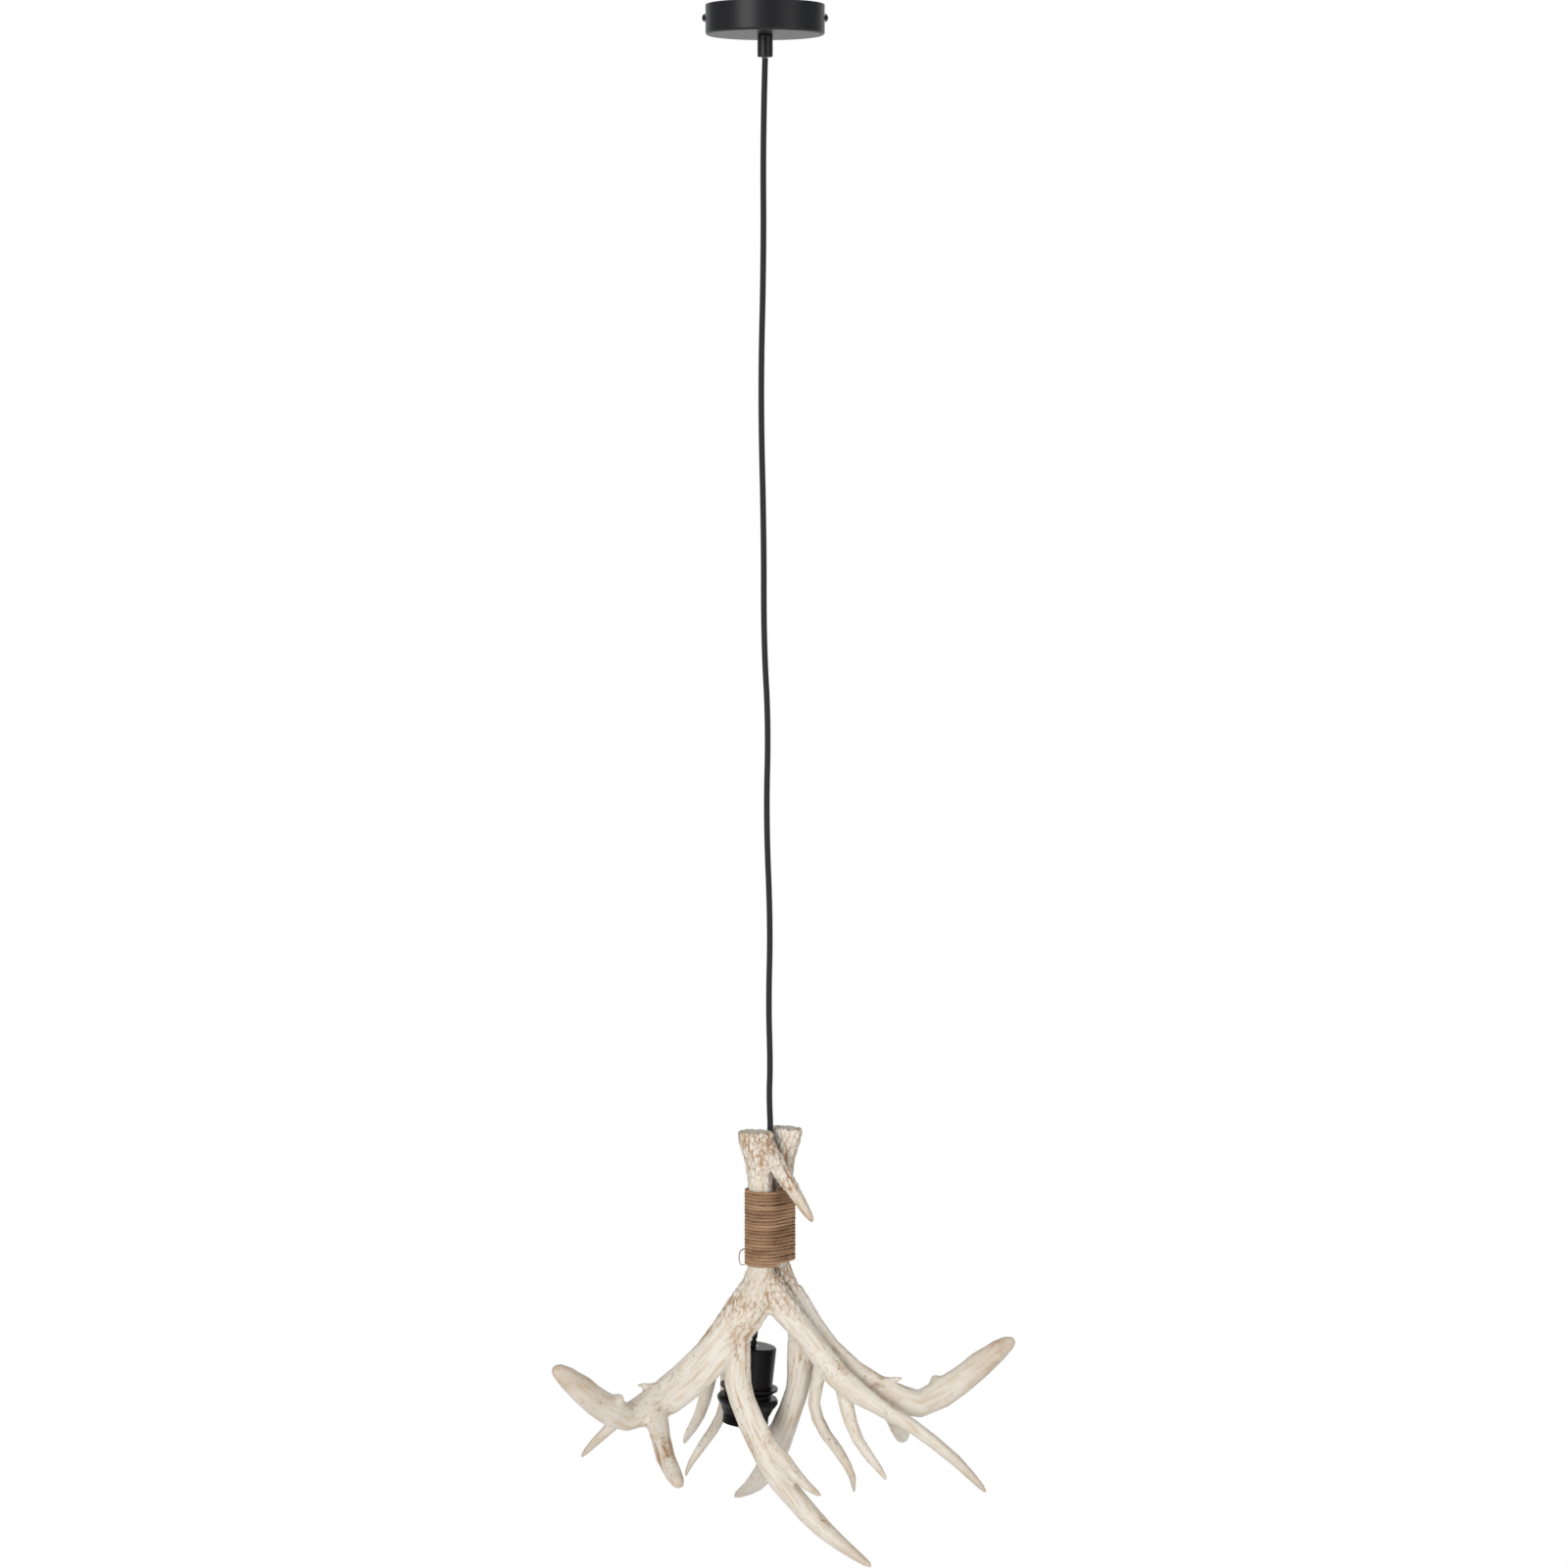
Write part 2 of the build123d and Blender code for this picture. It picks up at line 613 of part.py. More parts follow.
# ---------------------------------------------------------------- castings, cut and written
for cut in (channel, ferrule_pocket, *bolt_cuts):
    front -= cut
    rear -= cut
write("antler_front", front)
write("antler_rear", rear)


# ---------------------------------------------------------------- twine winding
def biarc(start, start_along, end, end_along):
    """Two tangent arcs from one point and direction to another."""
    span = end - start
    both = start_along + end_along
    square = both.dot(both) - 4
    cross = span.dot(both)
    reach = (cross - math.sqrt(cross ** 2 - square * span.dot(span))) / square
    first_knee = start + start_along * reach
    last_knee = end - end_along * reach
    middle = (first_knee + last_knee) * 0.5
    leave = (last_knee - first_knee).normalized()
    return [
        Edge.make_tangent_arc(start, start_along, middle),
        Edge.make_tangent_arc(middle, leave, end),
    ]


# Each turn has two straight runs beside the necks and two half-round ends,
# and the line sinks at a steady rate along its whole length.
half_round = math.pi * twine_end_radius
turn_length = 2 * half_round + 4 * twine_half_run
sink = twine_pitch / turn_length
run_sink = 2 * twine_half_run * sink
round_sink = half_round * sink
twine_frame = Pos(twine_x, twine_y, twine_top) * Rot(0, 0, twine_heading)
along_near = Vector(1, 0, -sink).normalized()
along_far = Vector(-1, 0, -sink).normalized()
twine_edges = []
height = 0.0
for index in range(twine_turns):
    near_start = Vector(-twine_half_run, -twine_end_radius, height)
    near_end = Vector(twine_half_run, -twine_end_radius, height - run_sink)
    far_start = Vector(twine_half_run, twine_end_radius, near_end.Z - round_sink)
    far_end = Vector(-twine_half_run, twine_end_radius, far_start.Z - run_sink)
    height -= twine_pitch
    turn_end = Vector(-twine_half_run, -twine_end_radius, height)
    twine_edges.append(Edge.make_line(near_start, near_end))
    twine_edges.extend(biarc(near_end, along_near, far_start, along_far))
    twine_edges.append(Edge.make_line(far_start, far_end))
    if index < twine_turns - 1:
        twine_edges.extend(biarc(far_end, along_far, turn_end, along_near))
twine_line = Wire(twine_edges)
twine_start = Plane(origin=twine_edges[0] @ 0, z_dir=along_near)
twine = sweep(twine_start * Circle(twine_d / 2), path=twine_line)
turn_points = []
for edge in twine_edges:
    turn_points.extend(edge @ (step / 8) for step in range(8))
per_turn = 8 * 6
gaps = []
for place, point in enumerate(turn_points):
    near = turn_points[place + per_turn // 2:place + 3 * per_turn // 2 + 8]
    if len(near) > per_turn // 2:
        gaps.append(min((point - other).length for other in near) - twine_d)
print("twine least gap to itself", round(min(gaps), 3), "length", round(twine_line.length, 1))
write("twine_winding", twine_frame * twine)

# ---------------------------------------------------------------- lamp holder cup
cup_radius = cup_d / 2
cup = rod(cup_d, -cup_height, 0)
cup = chamfer(cup.edges().group_by(Axis.Z)[-1], cup_chamfer)
cup -= rod(cup_d - 2 * cup_wall, -cup_height - 1, -cup_wall)
cup -= rod(holder_nipple_d + 2 * slip_gap, -cup_height, 1)
groove = rod(cup_d + 2, cup_groove_z - 0.5, cup_groove_z + 0.5)
groove -= rod(cup_d - 2 * cup_groove_depth, cup_groove_z - 1, cup_groove_z + 1)
cup -= groove
write("holder_cup", holder_frame * cup)

# ---------------------------------------------------------------- nipple, nut and screw
# A threaded tube through the cup's top clamps the cord with a small side screw.
nipple = rod(holder_nipple_d, -holder_nipple_length, 0)
nipple -= rod(cord_d + 2 * slip_gap, -holder_nipple_length - 1, 1)
nipple_screw_axis = Pos(0, 0, nipple_screw_z) * Rot(0, 90, 0)
nipple -= nipple_screw_axis * rod(nipple_screw_d, 0, holder_nipple_d)
write("holder_nipple", holder_frame * nipple)
nipple_screw_start = cord_d / 2 + seat_gap
nipple_screw_end = holder_nipple_d / 2 + 0.8
nipple_screw = rod(nipple_screw_d - 2 * slip_gap, nipple_screw_start, nipple_screw_end)
nipple_screw -= Pos(0, 0, nipple_screw_end) * Box(nipple_screw_d, 0.6, 0.8)
write("nipple_screw", holder_frame * nipple_screw_axis * nipple_screw)
holder_nut = hexagon(holder_nut_across, -cup_wall - holder_nut_h, -cup_wall)
holder_nut -= rod(holder_nipple_d + 2 * slip_gap, -cup_height, 0)
write("holder_nut", holder_frame * holder_nut)

# ---------------------------------------------------------------- cord end
# The last of the cord, from its bending point above the cup to inside it.
cord_end = rod(cord_d, -sheath_in_cup, swing_above_cup)
cord_end += Pos(0, 0, swing_above_cup) * half_ball(cord_d)
write("cord_end", holder_frame * cord_end)
holder_cores = []
core_low = insulator_top_z + terminal_head_h + seat_gap
for side in (-1, 1):
    core_start = Vector(side * 1.3, 0, -sheath_in_cup)
    core_line = FilletPolyline(
        core_start,
        Vector(side * 1.3, 0, -sheath_in_cup - 6),
        Vector(side * terminal_offset, 0, -sheath_in_cup - 13),
        Vector(side * terminal_offset, 0, core_low),
        radius=[4.0, 4.0],
    )
    core_plane = Plane(origin=core_start, z_dir=(0, 0, -1))
    holder_cores.append(holder_frame * sweep(core_plane * Circle(core_d / 2), path=core_line))
write("holder_cores", *holder_cores)

# ---------------------------------------------------------------- lamp holder body
# The skirt carries a thin flange under the cup, and a thread for the shade ring.
skirt_radius = skirt_d / 2
flange_top = -cup_height - seat_gap
flange_bottom = flange_top - flange_thick
taper_bottom = flange_bottom - flange_taper
flange = rod(flange_d, flange_bottom, flange_top)
taper_radius = flange_d / 2 - 1
taper = Cone(skirt_radius, taper_radius, flange_taper, align=(Align.CENTER, Align.CENTER, Align.MIN))
skirt = rod(skirt_d, skirt_bottom, flange_bottom) + Pos(0, 0, taper_bottom) * taper + flange
skirt_bore = skirt_radius - skirt_wall
skirt -= rod(2 * skirt_bore, skirt_bottom - 1, 0)
for index in range(skirt_thread_rings):
    cut_z = skirt_bottom + 1.4 + index * skirt_thread_pitch
    cut_outline = Polyline(
        (skirt_radius + 0.1, 0, cut_z - 0.9),
        (skirt_radius - skirt_thread_depth, 0, cut_z),
        (skirt_radius + 0.1, 0, cut_z + 0.9),
        close=True,
    )
    skirt -= revolve(make_face(cut_outline), Axis.Z)
write("holder_skirt", holder_frame * skirt)

# ---------------------------------------------------------------- insulator and contacts
shell_radius = shell_bore_d / 2 + shell_wall
insulator_radius = skirt_bore - seat_gap
insulator_under = insulator_top_z - insulator_floor
insulator = rod(2 * insulator_radius, insulator_bottom_z, insulator_top_z)
insulator -= rod(2 * (shell_radius + seat_gap), insulator_bottom_z - 1, insulator_under)
contact_stem_d = terminal_screw_d
insulator -= rod(contact_stem_d + 2 * slip_gap, insulator_under - 1, 0)
for side in (-1, 1):
    insulator -= rod(terminal_screw_d, insulator_under - 1, 0, side * terminal_offset)
write("socket_insulator", holder_frame * insulator)

shell = rod(2 * shell_radius, shell_mouth_z, shell_mouth_z + shell_length)
shell -= rod(shell_bore_d, shell_mouth_z - 1, shell_mouth_z + shell_length + 1)
write("socket_shell", holder_frame * shell)

contact = rod(contact_d, insulator_under - contact_drop, insulator_under)
contact += rod(contact_stem_d, insulator_under, insulator_top_z + 1.5)
write("centre_contact", holder_frame * contact)

side_contact_drop = insulator_under - shell_mouth_z - shell_length - seat_gap
side_contact_x = shell_radius - shell_wall - 0.6
side_contact = Box(1.2, side_contact_width, side_contact_drop, align=(Align.MIN, Align.CENTER, Align.MAX))
write("side_contact", holder_frame * Pos(side_contact_x, 0, insulator_under) * side_contact)

terminals = []
for side in (-1, 1):
    terminal = rod(terminal_screw_d - 2 * slip_gap, insulator_under + 0.5, insulator_top_z)
    terminal += Pos(0, 0, insulator_top_z) * domed_head(terminal_head_d, terminal_head_h)
    terminals.append(holder_frame * Pos(side * terminal_offset, 0, 0) * terminal)
write("holder_terminals", *terminals)

# ---------------------------------------------------------------- shade ring
# Each row holds a share of the ring's wall, outward from its bore, and a drop
# from its top, as a share of its height.
ring_bore = skirt_radius + ring_thread_gap
ring_wall = ring_d / 2 - ring_bore
ring_height = ring_top_z - ring_bottom_z
ring_shares = [
    (0.77, 0.0),
    (1.0, 0.14),
    (1.0, 0.28),
    (0.77, 0.45),
    (0.48, 0.61),
    (0.28, 0.81),
    (0.08, 1.0),
]
ring_points = [(ring_bore, 0, ring_top_z)]
for wall_share, drop_share in ring_shares:
    ring_points.append((ring_bore + wall_share * ring_wall, 0, ring_top_z - drop_share * ring_height))
ring_points.append((ring_bore, 0, ring_bottom_z))
ring_outline = Polyline(*ring_points, close=True)
write("shade_ring", holder_frame * revolve(make_face(ring_outline), Axis.Z))
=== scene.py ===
import math
import bmesh
import bpy
import numpy as np
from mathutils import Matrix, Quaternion, Vector, noise


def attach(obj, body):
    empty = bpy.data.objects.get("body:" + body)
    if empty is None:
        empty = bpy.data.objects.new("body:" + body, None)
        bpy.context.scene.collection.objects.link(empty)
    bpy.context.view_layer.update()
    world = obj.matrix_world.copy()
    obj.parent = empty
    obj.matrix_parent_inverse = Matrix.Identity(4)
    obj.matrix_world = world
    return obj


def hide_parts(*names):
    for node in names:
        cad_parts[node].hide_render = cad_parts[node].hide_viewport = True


# An antler pendant light: a black canopy and textile cord, two ivory castings
# bound with jute twine, and a black lamp holder between them. Metres, +Z up.

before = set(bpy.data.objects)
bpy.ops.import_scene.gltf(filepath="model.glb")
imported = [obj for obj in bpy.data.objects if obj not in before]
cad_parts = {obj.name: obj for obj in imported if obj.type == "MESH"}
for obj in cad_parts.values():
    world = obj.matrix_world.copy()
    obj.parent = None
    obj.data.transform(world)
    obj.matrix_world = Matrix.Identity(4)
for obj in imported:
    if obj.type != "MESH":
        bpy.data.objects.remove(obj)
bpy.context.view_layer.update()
scene = bpy.context.scene
scene.view_settings.view_transform = "Standard"

# ---------------------------------------------------------------- camera
# It stands 4.4 m in front, a little above the cord's middle, and tips down.
camera_down = math.radians(4.5)
camera_data = bpy.data.cameras.new("camera")
camera_data.lens = 99.45
camera_data.sensor_width = 36.0
camera_data.clip_end = 50.0
camera = bpy.data.objects.new("camera", camera_data)
camera.location = (0.019, -4.4, -0.439)
camera.rotation_euler = (math.radians(90.0) - camera_down, 0.0, 0.0)
scene.collection.objects.link(camera)
scene.camera = camera

# ---------------------------------------------------------------- ceiling bracket
# A bent strap of zinc-plated steel, screwed to the ceiling and hidden by the
# canopy, with a brass earth stud. Every moulded, painted or plated surface of
# the light shares its speckle and faint dents, which this group gives.
wear = bpy.data.node_groups.new("wear", "ShaderNodeTree")
wear.interface.new_socket("Scale", in_out="INPUT", socket_type="NodeSocketFloat")
wear.interface.new_socket("Depth", in_out="INPUT", socket_type="NodeSocketFloat")
wear.interface.new_socket("Speckle", in_out="OUTPUT", socket_type="NodeSocketFloat")
wear.interface.new_socket("Normal", in_out="OUTPUT", socket_type="NodeSocketVector")
wear_in = wear.nodes.new("NodeGroupInput")
wear_out = wear.nodes.new("NodeGroupOutput")
wear_place = wear.nodes.new("ShaderNodeTexCoord")
wear_noise = wear.nodes.new("ShaderNodeTexNoise")
wear_noise.inputs["Detail"].default_value = 6.0
wear_noise.inputs["Roughness"].default_value = 0.6
wear_bump = wear.nodes.new("ShaderNodeBump")
wear_bump.inputs["Distance"].default_value = 0.0005
wear.links.new(wear_place.outputs["Object"], wear_noise.inputs["Vector"])
wear.links.new(wear_in.outputs["Scale"], wear_noise.inputs["Scale"])
wear.links.new(wear_noise.outputs["Fac"], wear_out.inputs["Speckle"])
wear.links.new(wear_noise.outputs["Fac"], wear_bump.inputs["Height"])
wear.links.new(wear_in.outputs["Depth"], wear_bump.inputs["Strength"])
wear.links.new(wear_bump.outputs["Normal"], wear_out.inputs["Normal"])
roughness_play = 0.06


def worn_material(
    name, dark, light, roughness, metallic=0.0, scale=400.0, depth=0.1, specular=0.5
):
    """A plain finish with speckle between two colours, and a little unevenness."""
    material = bpy.data.materials.new(name)
    material.use_nodes = True
    nodes = material.node_tree.nodes
    links = material.node_tree.links
    surface = nodes["Principled BSDF"]
    surface.inputs["Metallic"].default_value = metallic
    surface.inputs["Specular IOR Level"].default_value = specular
    worn = nodes.new("ShaderNodeGroup")
    worn.node_tree = wear
    worn.inputs["Scale"].default_value = scale
    worn.inputs["Depth"].default_value = depth
    shade = nodes.new("ShaderNodeMix")
    shade.data_type = "RGBA"
    shade.inputs["A"].default_value = (*dark, 1.0)
    shade.inputs["B"].default_value = (*light, 1.0)
    polish = nodes.new("ShaderNodeMapRange")
    polish.inputs["To Min"].default_value = roughness - roughness_play
    polish.inputs["To Max"].default_value = roughness + roughness_play
    links.new(worn.outputs["Speckle"], shade.inputs["Factor"])
    links.new(worn.outputs["Speckle"], polish.inputs["Value"])
    links.new(shade.outputs["Result"], surface.inputs["Base Color"])
    links.new(polish.outputs["Result"], surface.inputs["Roughness"])
    links.new(worn.outputs["Normal"], surface.inputs["Normal"])
    return material


zinc = worn_material(
    "zinc", (0.42, 0.42, 0.40), (0.68, 0.68, 0.66), 0.34, metallic=1.0, scale=120.0
)
brass = worn_material(
    "brass", (0.55, 0.38, 0.14), (0.78, 0.58, 0.27), 0.28, metallic=1.0, scale=180.0
)
for node in ("ceiling_bracket", "grip_screw", "grip_nut", "neck_bolts", "neck_nuts"):
    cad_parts[node].material_slots[0].material = zinc
for node in ("holder_nipple", "nipple_screw", "holder_nut"):
    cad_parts[node].material_slots[0].material = zinc
for node in ("earth_stud", "earth_nut", "terminal_screws", "cord_ferrule"):
    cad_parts[node].material_slots[0].material = brass
for node in ("socket_shell", "centre_contact", "side_contact", "holder_terminals"):
    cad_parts[node].material_slots[0].material = brass

# ---------------------------------------------------------------- canopy
# A spun steel cup in satin black powder coat, held to the bracket by two side
# screws that are painted to match.
powder_coat = worn_material(
    "powder_coat", (0.006, 0.006, 0.007), (0.015, 0.015, 0.016), 0.38,
    scale=700.0, depth=0.16, specular=0.22,
)
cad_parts["canopy"].material_slots[0].material = powder_coat
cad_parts["canopy_side_screws"].material_slots[0].material = powder_coat

# ---------------------------------------------------------------- cord grip and terminals
# A moulded black sleeve is screwed through the canopy's floor and holds the
# cord. The white terminal block and the coloured wires are inside the canopy.
moulded_black = worn_material(
    "moulded_black", (0.008, 0.008, 0.008), (0.020, 0.020, 0.020), 0.36,
    scale=500.0, specular=0.22,
)
block_plastic = worn_material(
    "block_plastic", (0.66, 0.65, 0.60), (0.80, 0.79, 0.74), 0.5, scale=200.0
)
brown_sleeve = worn_material("brown_sleeve", (0.10, 0.04, 0.02), (0.16, 0.07, 0.03), 0.4)
blue_sleeve = worn_material("blue_sleeve", (0.02, 0.07, 0.28), (0.03, 0.10, 0.38), 0.4)
green_sleeve = worn_material("green_sleeve", (0.10, 0.26, 0.04), (0.15, 0.34, 0.06), 0.4)
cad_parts["cord_grip"].material_slots[0].material = moulded_black
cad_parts["terminal_block"].material_slots[0].material = block_plastic
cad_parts["core_live"].material_slots[0].material = brown_sleeve
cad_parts["holder_cores"].material_slots[0].material = brown_sleeve
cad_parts["core_neutral"].material_slots[0].material = blue_sleeve
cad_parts["core_earth"].material_slots[0].material = green_sleeve

# ---------------------------------------------------------------- cord
# Black textile flex from the grip down to the antlers, with the slight waves of
# a cord that was folded in its box. Its top stands just under the short piece
# of cord in the grip, with room to swing.
cord_points = [
    (0.0, 0.0, -0.0529),
    (-0.0022, 0.0, -0.130),
    (-0.0014, 0.0, -0.250),
    (-0.0048, 0.0, -0.390),
    (-0.0014, 0.0, -0.530),
    (-0.0016, 0.0, -0.640),
    (0.0032, 0.0, -0.725),
    (0.0007, 0.0, -0.820),
    (0.0052, 0.0, -0.930),
    (0.0031, 0.0, -1.010),
    (0.0050, 0.0, -1.075),
    (0.0036, -0.0016, -1.107),
    (0.0049, -0.0024, -1.132),
]
cord_diameter = 0.006
cord_curve = bpy.data.curves.new("cord_flex", "CURVE")
cord_curve.dimensions = "3D"
cord_curve.bevel_depth = cord_diameter / 2
cord_curve.bevel_resolution = 6
cord_curve.resolution_u = 16
cord_spline = cord_curve.splines.new("NURBS")
cord_spline.points.add(len(cord_points) - 1)
for point, place in zip(cord_spline.points, cord_points):
    point.co = (*place, 1.0)
cord_spline.order_u = 3
cord_spline.use_endpoint_u = True
cord_flex = bpy.data.objects.new("cord_flex", cord_curve)
scene.collection.objects.link(cord_flex)

# Braided cotton: two crossing diagonal waves raise the yarns. The black is painted lighter where
# the yarns stand high, a painted sheen, and darker between them, a painted shade.
braid_lean = math.radians(45.0)
textile = bpy.data.materials.new("textile")
textile.use_nodes = True
nodes = textile.node_tree.nodes
links = textile.node_tree.links
surface = nodes["Principled BSDF"]
surface.inputs["Roughness"].default_value = 0.78
surface.inputs["Specular IOR Level"].default_value = 0.35
place = nodes.new("ShaderNodeTexCoord")
braid = nodes.new("ShaderNodeMath")
braid.operation = "MULTIPLY"
for yarn, lean in enumerate((-braid_lean, braid_lean)):
    turned = nodes.new("ShaderNodeMapping")
    turned.inputs["Rotation"].default_value = (0.0, lean, 0.0)
    wave = nodes.new("ShaderNodeTexWave")
    wave.bands_direction = "Z"
    wave.inputs["Scale"].default_value = 160.0
    wave.inputs["Distortion"].default_value = 0.6
    links.new(place.outputs["Object"], turned.inputs["Vector"])
    links.new(turned.outputs["Vector"], wave.inputs["Vector"])
    links.new(wave.outputs["Fac"], braid.inputs[yarn])
fuzz = nodes.new("ShaderNodeTexNoise")
fuzz.inputs["Scale"].default_value = 900.0
links.new(place.outputs["Object"], fuzz.inputs["Vector"])
# painted sheen on the raised yarns and painted shade in the hollows between them
shade = nodes.new("ShaderNodeMix")
shade.data_type = "RGBA"
shade.inputs["A"].default_value = (0.008, 0.008, 0.009, 1.0)
shade.inputs["B"].default_value = (0.045, 0.044, 0.043, 1.0)
links.new(braid.outputs["Value"], shade.inputs["Factor"])
links.new(shade.outputs["Result"], surface.inputs["Base Color"])
raised = nodes.new("ShaderNodeMath")
raised.operation = "MULTIPLY_ADD"
raised.inputs[1].default_value = 0.25
links.new(fuzz.outputs["Fac"], raised.inputs[0])
links.new(braid.outputs["Value"], raised.inputs[2])
bump = nodes.new("ShaderNodeBump")
bump.inputs["Strength"].default_value = 0.8
bump.inputs["Distance"].default_value = 0.0003
links.new(raised.outputs["Value"], bump.inputs["Height"])
links.new(bump.outputs["Normal"], surface.inputs["Normal"])
cord_flex.data.materials.append(textile)
for node in ("cord_held", "cord_head", "cord_end"):
    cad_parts[node].material_slots[0].material = textile
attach(cord_flex, "cord")
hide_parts("cord")

# ---------------------------------------------------------------- antler castings
# Two resin castings of one shed antler, painted ivory, with brown glaze wiped
# into the grooves. Each limb below is its line through the casting and its
# radius there, so that grooves, stain and pearling can follow it.
# Rows: x, y, z, radius in millimetres. Then roughness at its start and end.
limbs = {
    "beam": ([
        (-10, -12, -1140, 18), (-5, -12, -1189, 13), (-5, -12, -1280, 14),
        (-12, -16, -1313, 16), (-38, -22, -1350, 16), (-79, -39, -1392, 15),
        (-122, -66, -1417, 14), (-140, -80, -1422, 13), (-169, -112, -1399, 12),
        (-211, -150, -1357, 4),
    ], 1.0, 0.12),
    "right": ([
        (2, -13, -1288, 12), (17, -20, -1319, 13), (45, -27, -1353, 12), (75, -33, -1390, 11),
        (114, -32, -1420, 9), (150, -26, -1443, 7), (195, -15, -1481, 6), (227, -10, -1516, 2),
    ], 0.8, 0.12),
    "long": ([
        (-30, -21, -1345, 12), (-28, -24, -1400, 12), (-14, -30, -1439, 12), (5, -41, -1477, 12),
        (44, -78, -1522, 11), (75, -106, -1545, 8), (106, -129, -1562, 2),
    ], 0.55, 0.1),
    "prong": ([
        (3, -36, -1457, 8), (19, -51, -1475, 9), (42, -76, -1493, 5), (56, -89, -1500, 2),
    ], 0.3, 0.1),
    "blunt": ([
        (-112, -60, -1420, 12), (-105, -90, -1441, 10), (-92, -131, -1467, 9),
        (-84, -146, -1476, 4),
    ], 0.5, 0.4),
    "spur": ([(-104, -46, -1402, 7), (-130, -60, -1393, 2)], 0.5, 0.3),
    "second": ([
        (76, -30, -1388, 9), (83, -26, -1424, 8), (95, -31, -1457, 6), (116, -42, -1484, 4),
        (123, -49, -1494, 2),
    ], 0.35, 0.1),
    "brow": ([
        (0, -14, -1152, 9), (16, -26, -1179, 9), (38, -35, -1213, 6), (48, -37, -1230, 2),
    ], 1.0, 0.7),
}
front_first = ([
    (58, -29, -1376, 9), (50, -15, -1422, 7), (62, -6, -1457, 6), (84, -4, -1490, 5),
    (91, -3, -1517, 2),
], 0.35, 0.1)
rear_first = ([
    (-38, 58, -1378, 9), (-41, 56, -1422, 6), (-46, 53, -1450, 6), (-67, 51, -1482, 5),
    (-83, 49, -1514, 2),
], 0.35, 0.1)
# Knobs along the upper edge of the paddle.
knobs = [(-147, -98, -1399, 6), (-171, -115, -1385, 6), (-190, -133, -1367, 5)]
# The rear casting is the front one turned about a leaning line, and lifted.
turn_angle = math.radians(149.6)
turn_line = Vector((0.014, 0.011, 1.0)).normalized()
turn_height = -1350.0
rear_lift = 1.4
# The mesh: its step, and how many rounds soften the whole and the joints.
mesh_step = 0.00125
whole_rounds = 12
joint_rounds = 100
merge_distance = 0.00001
# How sharply a joint, a knob, a blend and a crotch fall off: the knob's in
# metres, the rest in radii.
joint_reach = 0.35
knob_reach = 0.009
blend_rate = 6.0
crotch_reach = 0.3
# The limb radius at which the grooves have their full width.
full_radius = 0.014
# Pearls are longer than they are wide, and run out at the fork.
pearl_size = np.array([0.0050, 0.0050, 0.0095])
pearl_border = 0.32
pearls_end = -1.352
pearls_fade = 0.045
neck_end = -1.29
neck_pearling = 0.85
# The winding hides the necks between these heights.
wrap_top = -1.197
wrap_foot = -1.282
relief = 0.001
most_stain = 0.85


def rear_rows(rows):
    """The rows of a front limb, taken to the rear casting's place."""
    placed = []
    for x, y, z, radius in rows:
        arm = Vector((x, y, z - turn_height))
        arm.rotate(Quaternion(turn_line, turn_angle))
        placed.append((arm.x, arm.y, arm.z + turn_height + rear_lift, radius))
    return placed


def limb_field(points, rows):
    """For each point: how far along the limb it lies, its place round the limb (a
    smaller circle where the limb is thin), and how far it stands off, in radii."""
    line = np.array(rows, dtype=float) / 1000.0
    starts = line[:-1, :3]
    spans = line[1:, :3] - starts
    lengths = np.linalg.norm(spans, axis=1)
    reached = np.concatenate([[0.0], np.cumsum(lengths)])
    ways = spans / lengths[:, None]
    bends = np.vstack([ways[:1], ways[:-1] + ways[1:], ways[-1:]])
    along = np.zeros(len(points))
    turn = np.zeros((len(points), 2))
    stand = np.full(len(points), np.inf)
    for index, (start, span, way, length) in enumerate(zip(starts, spans, ways, lengths)):
        share = np.clip(((points - start) @ way) / length, 0.0, 1.0)
        away = points - (start + share[:, None] * span)
        distance = np.linalg.norm(away, axis=1)
        radius = line[index, 3] + share * (line[index + 1, 3] - line[index, 3])
        off = distance / radius - 1.0
        closer = off < stand
        heading = bends[index] * (1 - share[:, None]) + bends[index + 1] * share[:, None]
        heading /= np.linalg.norm(heading, axis=1)[:, None]
        side = np.cross(heading, [0.0, 1.0, 0.2])
        side /= np.linalg.norm(side, axis=1)[:, None]
        up = np.cross(side, heading)
        across = np.stack([(away * side).sum(1), (away * up).sum(1)], axis=1)
        across *= (radius / full_radius / np.maximum(distance, 1e-6))[:, None]
        stand = np.where(closer, off, stand)
        along = np.where(closer, reached[index] + share * length, along)
        turn = np.where(closer[:, None], across, turn)
    return along, turn, stand, reached[-1]


def second_nearest(stands):
    """How much further off the second nearest limb is than the nearest."""
    nearest = np.sort(stands, axis=0)
    return np.clip(nearest[1] - nearest[0], 0.0, 9.0)


def vertex_values(mesh, name):
    """Every vertex's co or normal, one row each."""
    values = np.empty(len(mesh.vertices) * 3)
    mesh.vertices.foreach_get(name, values)
    return values.reshape(-1, 3)


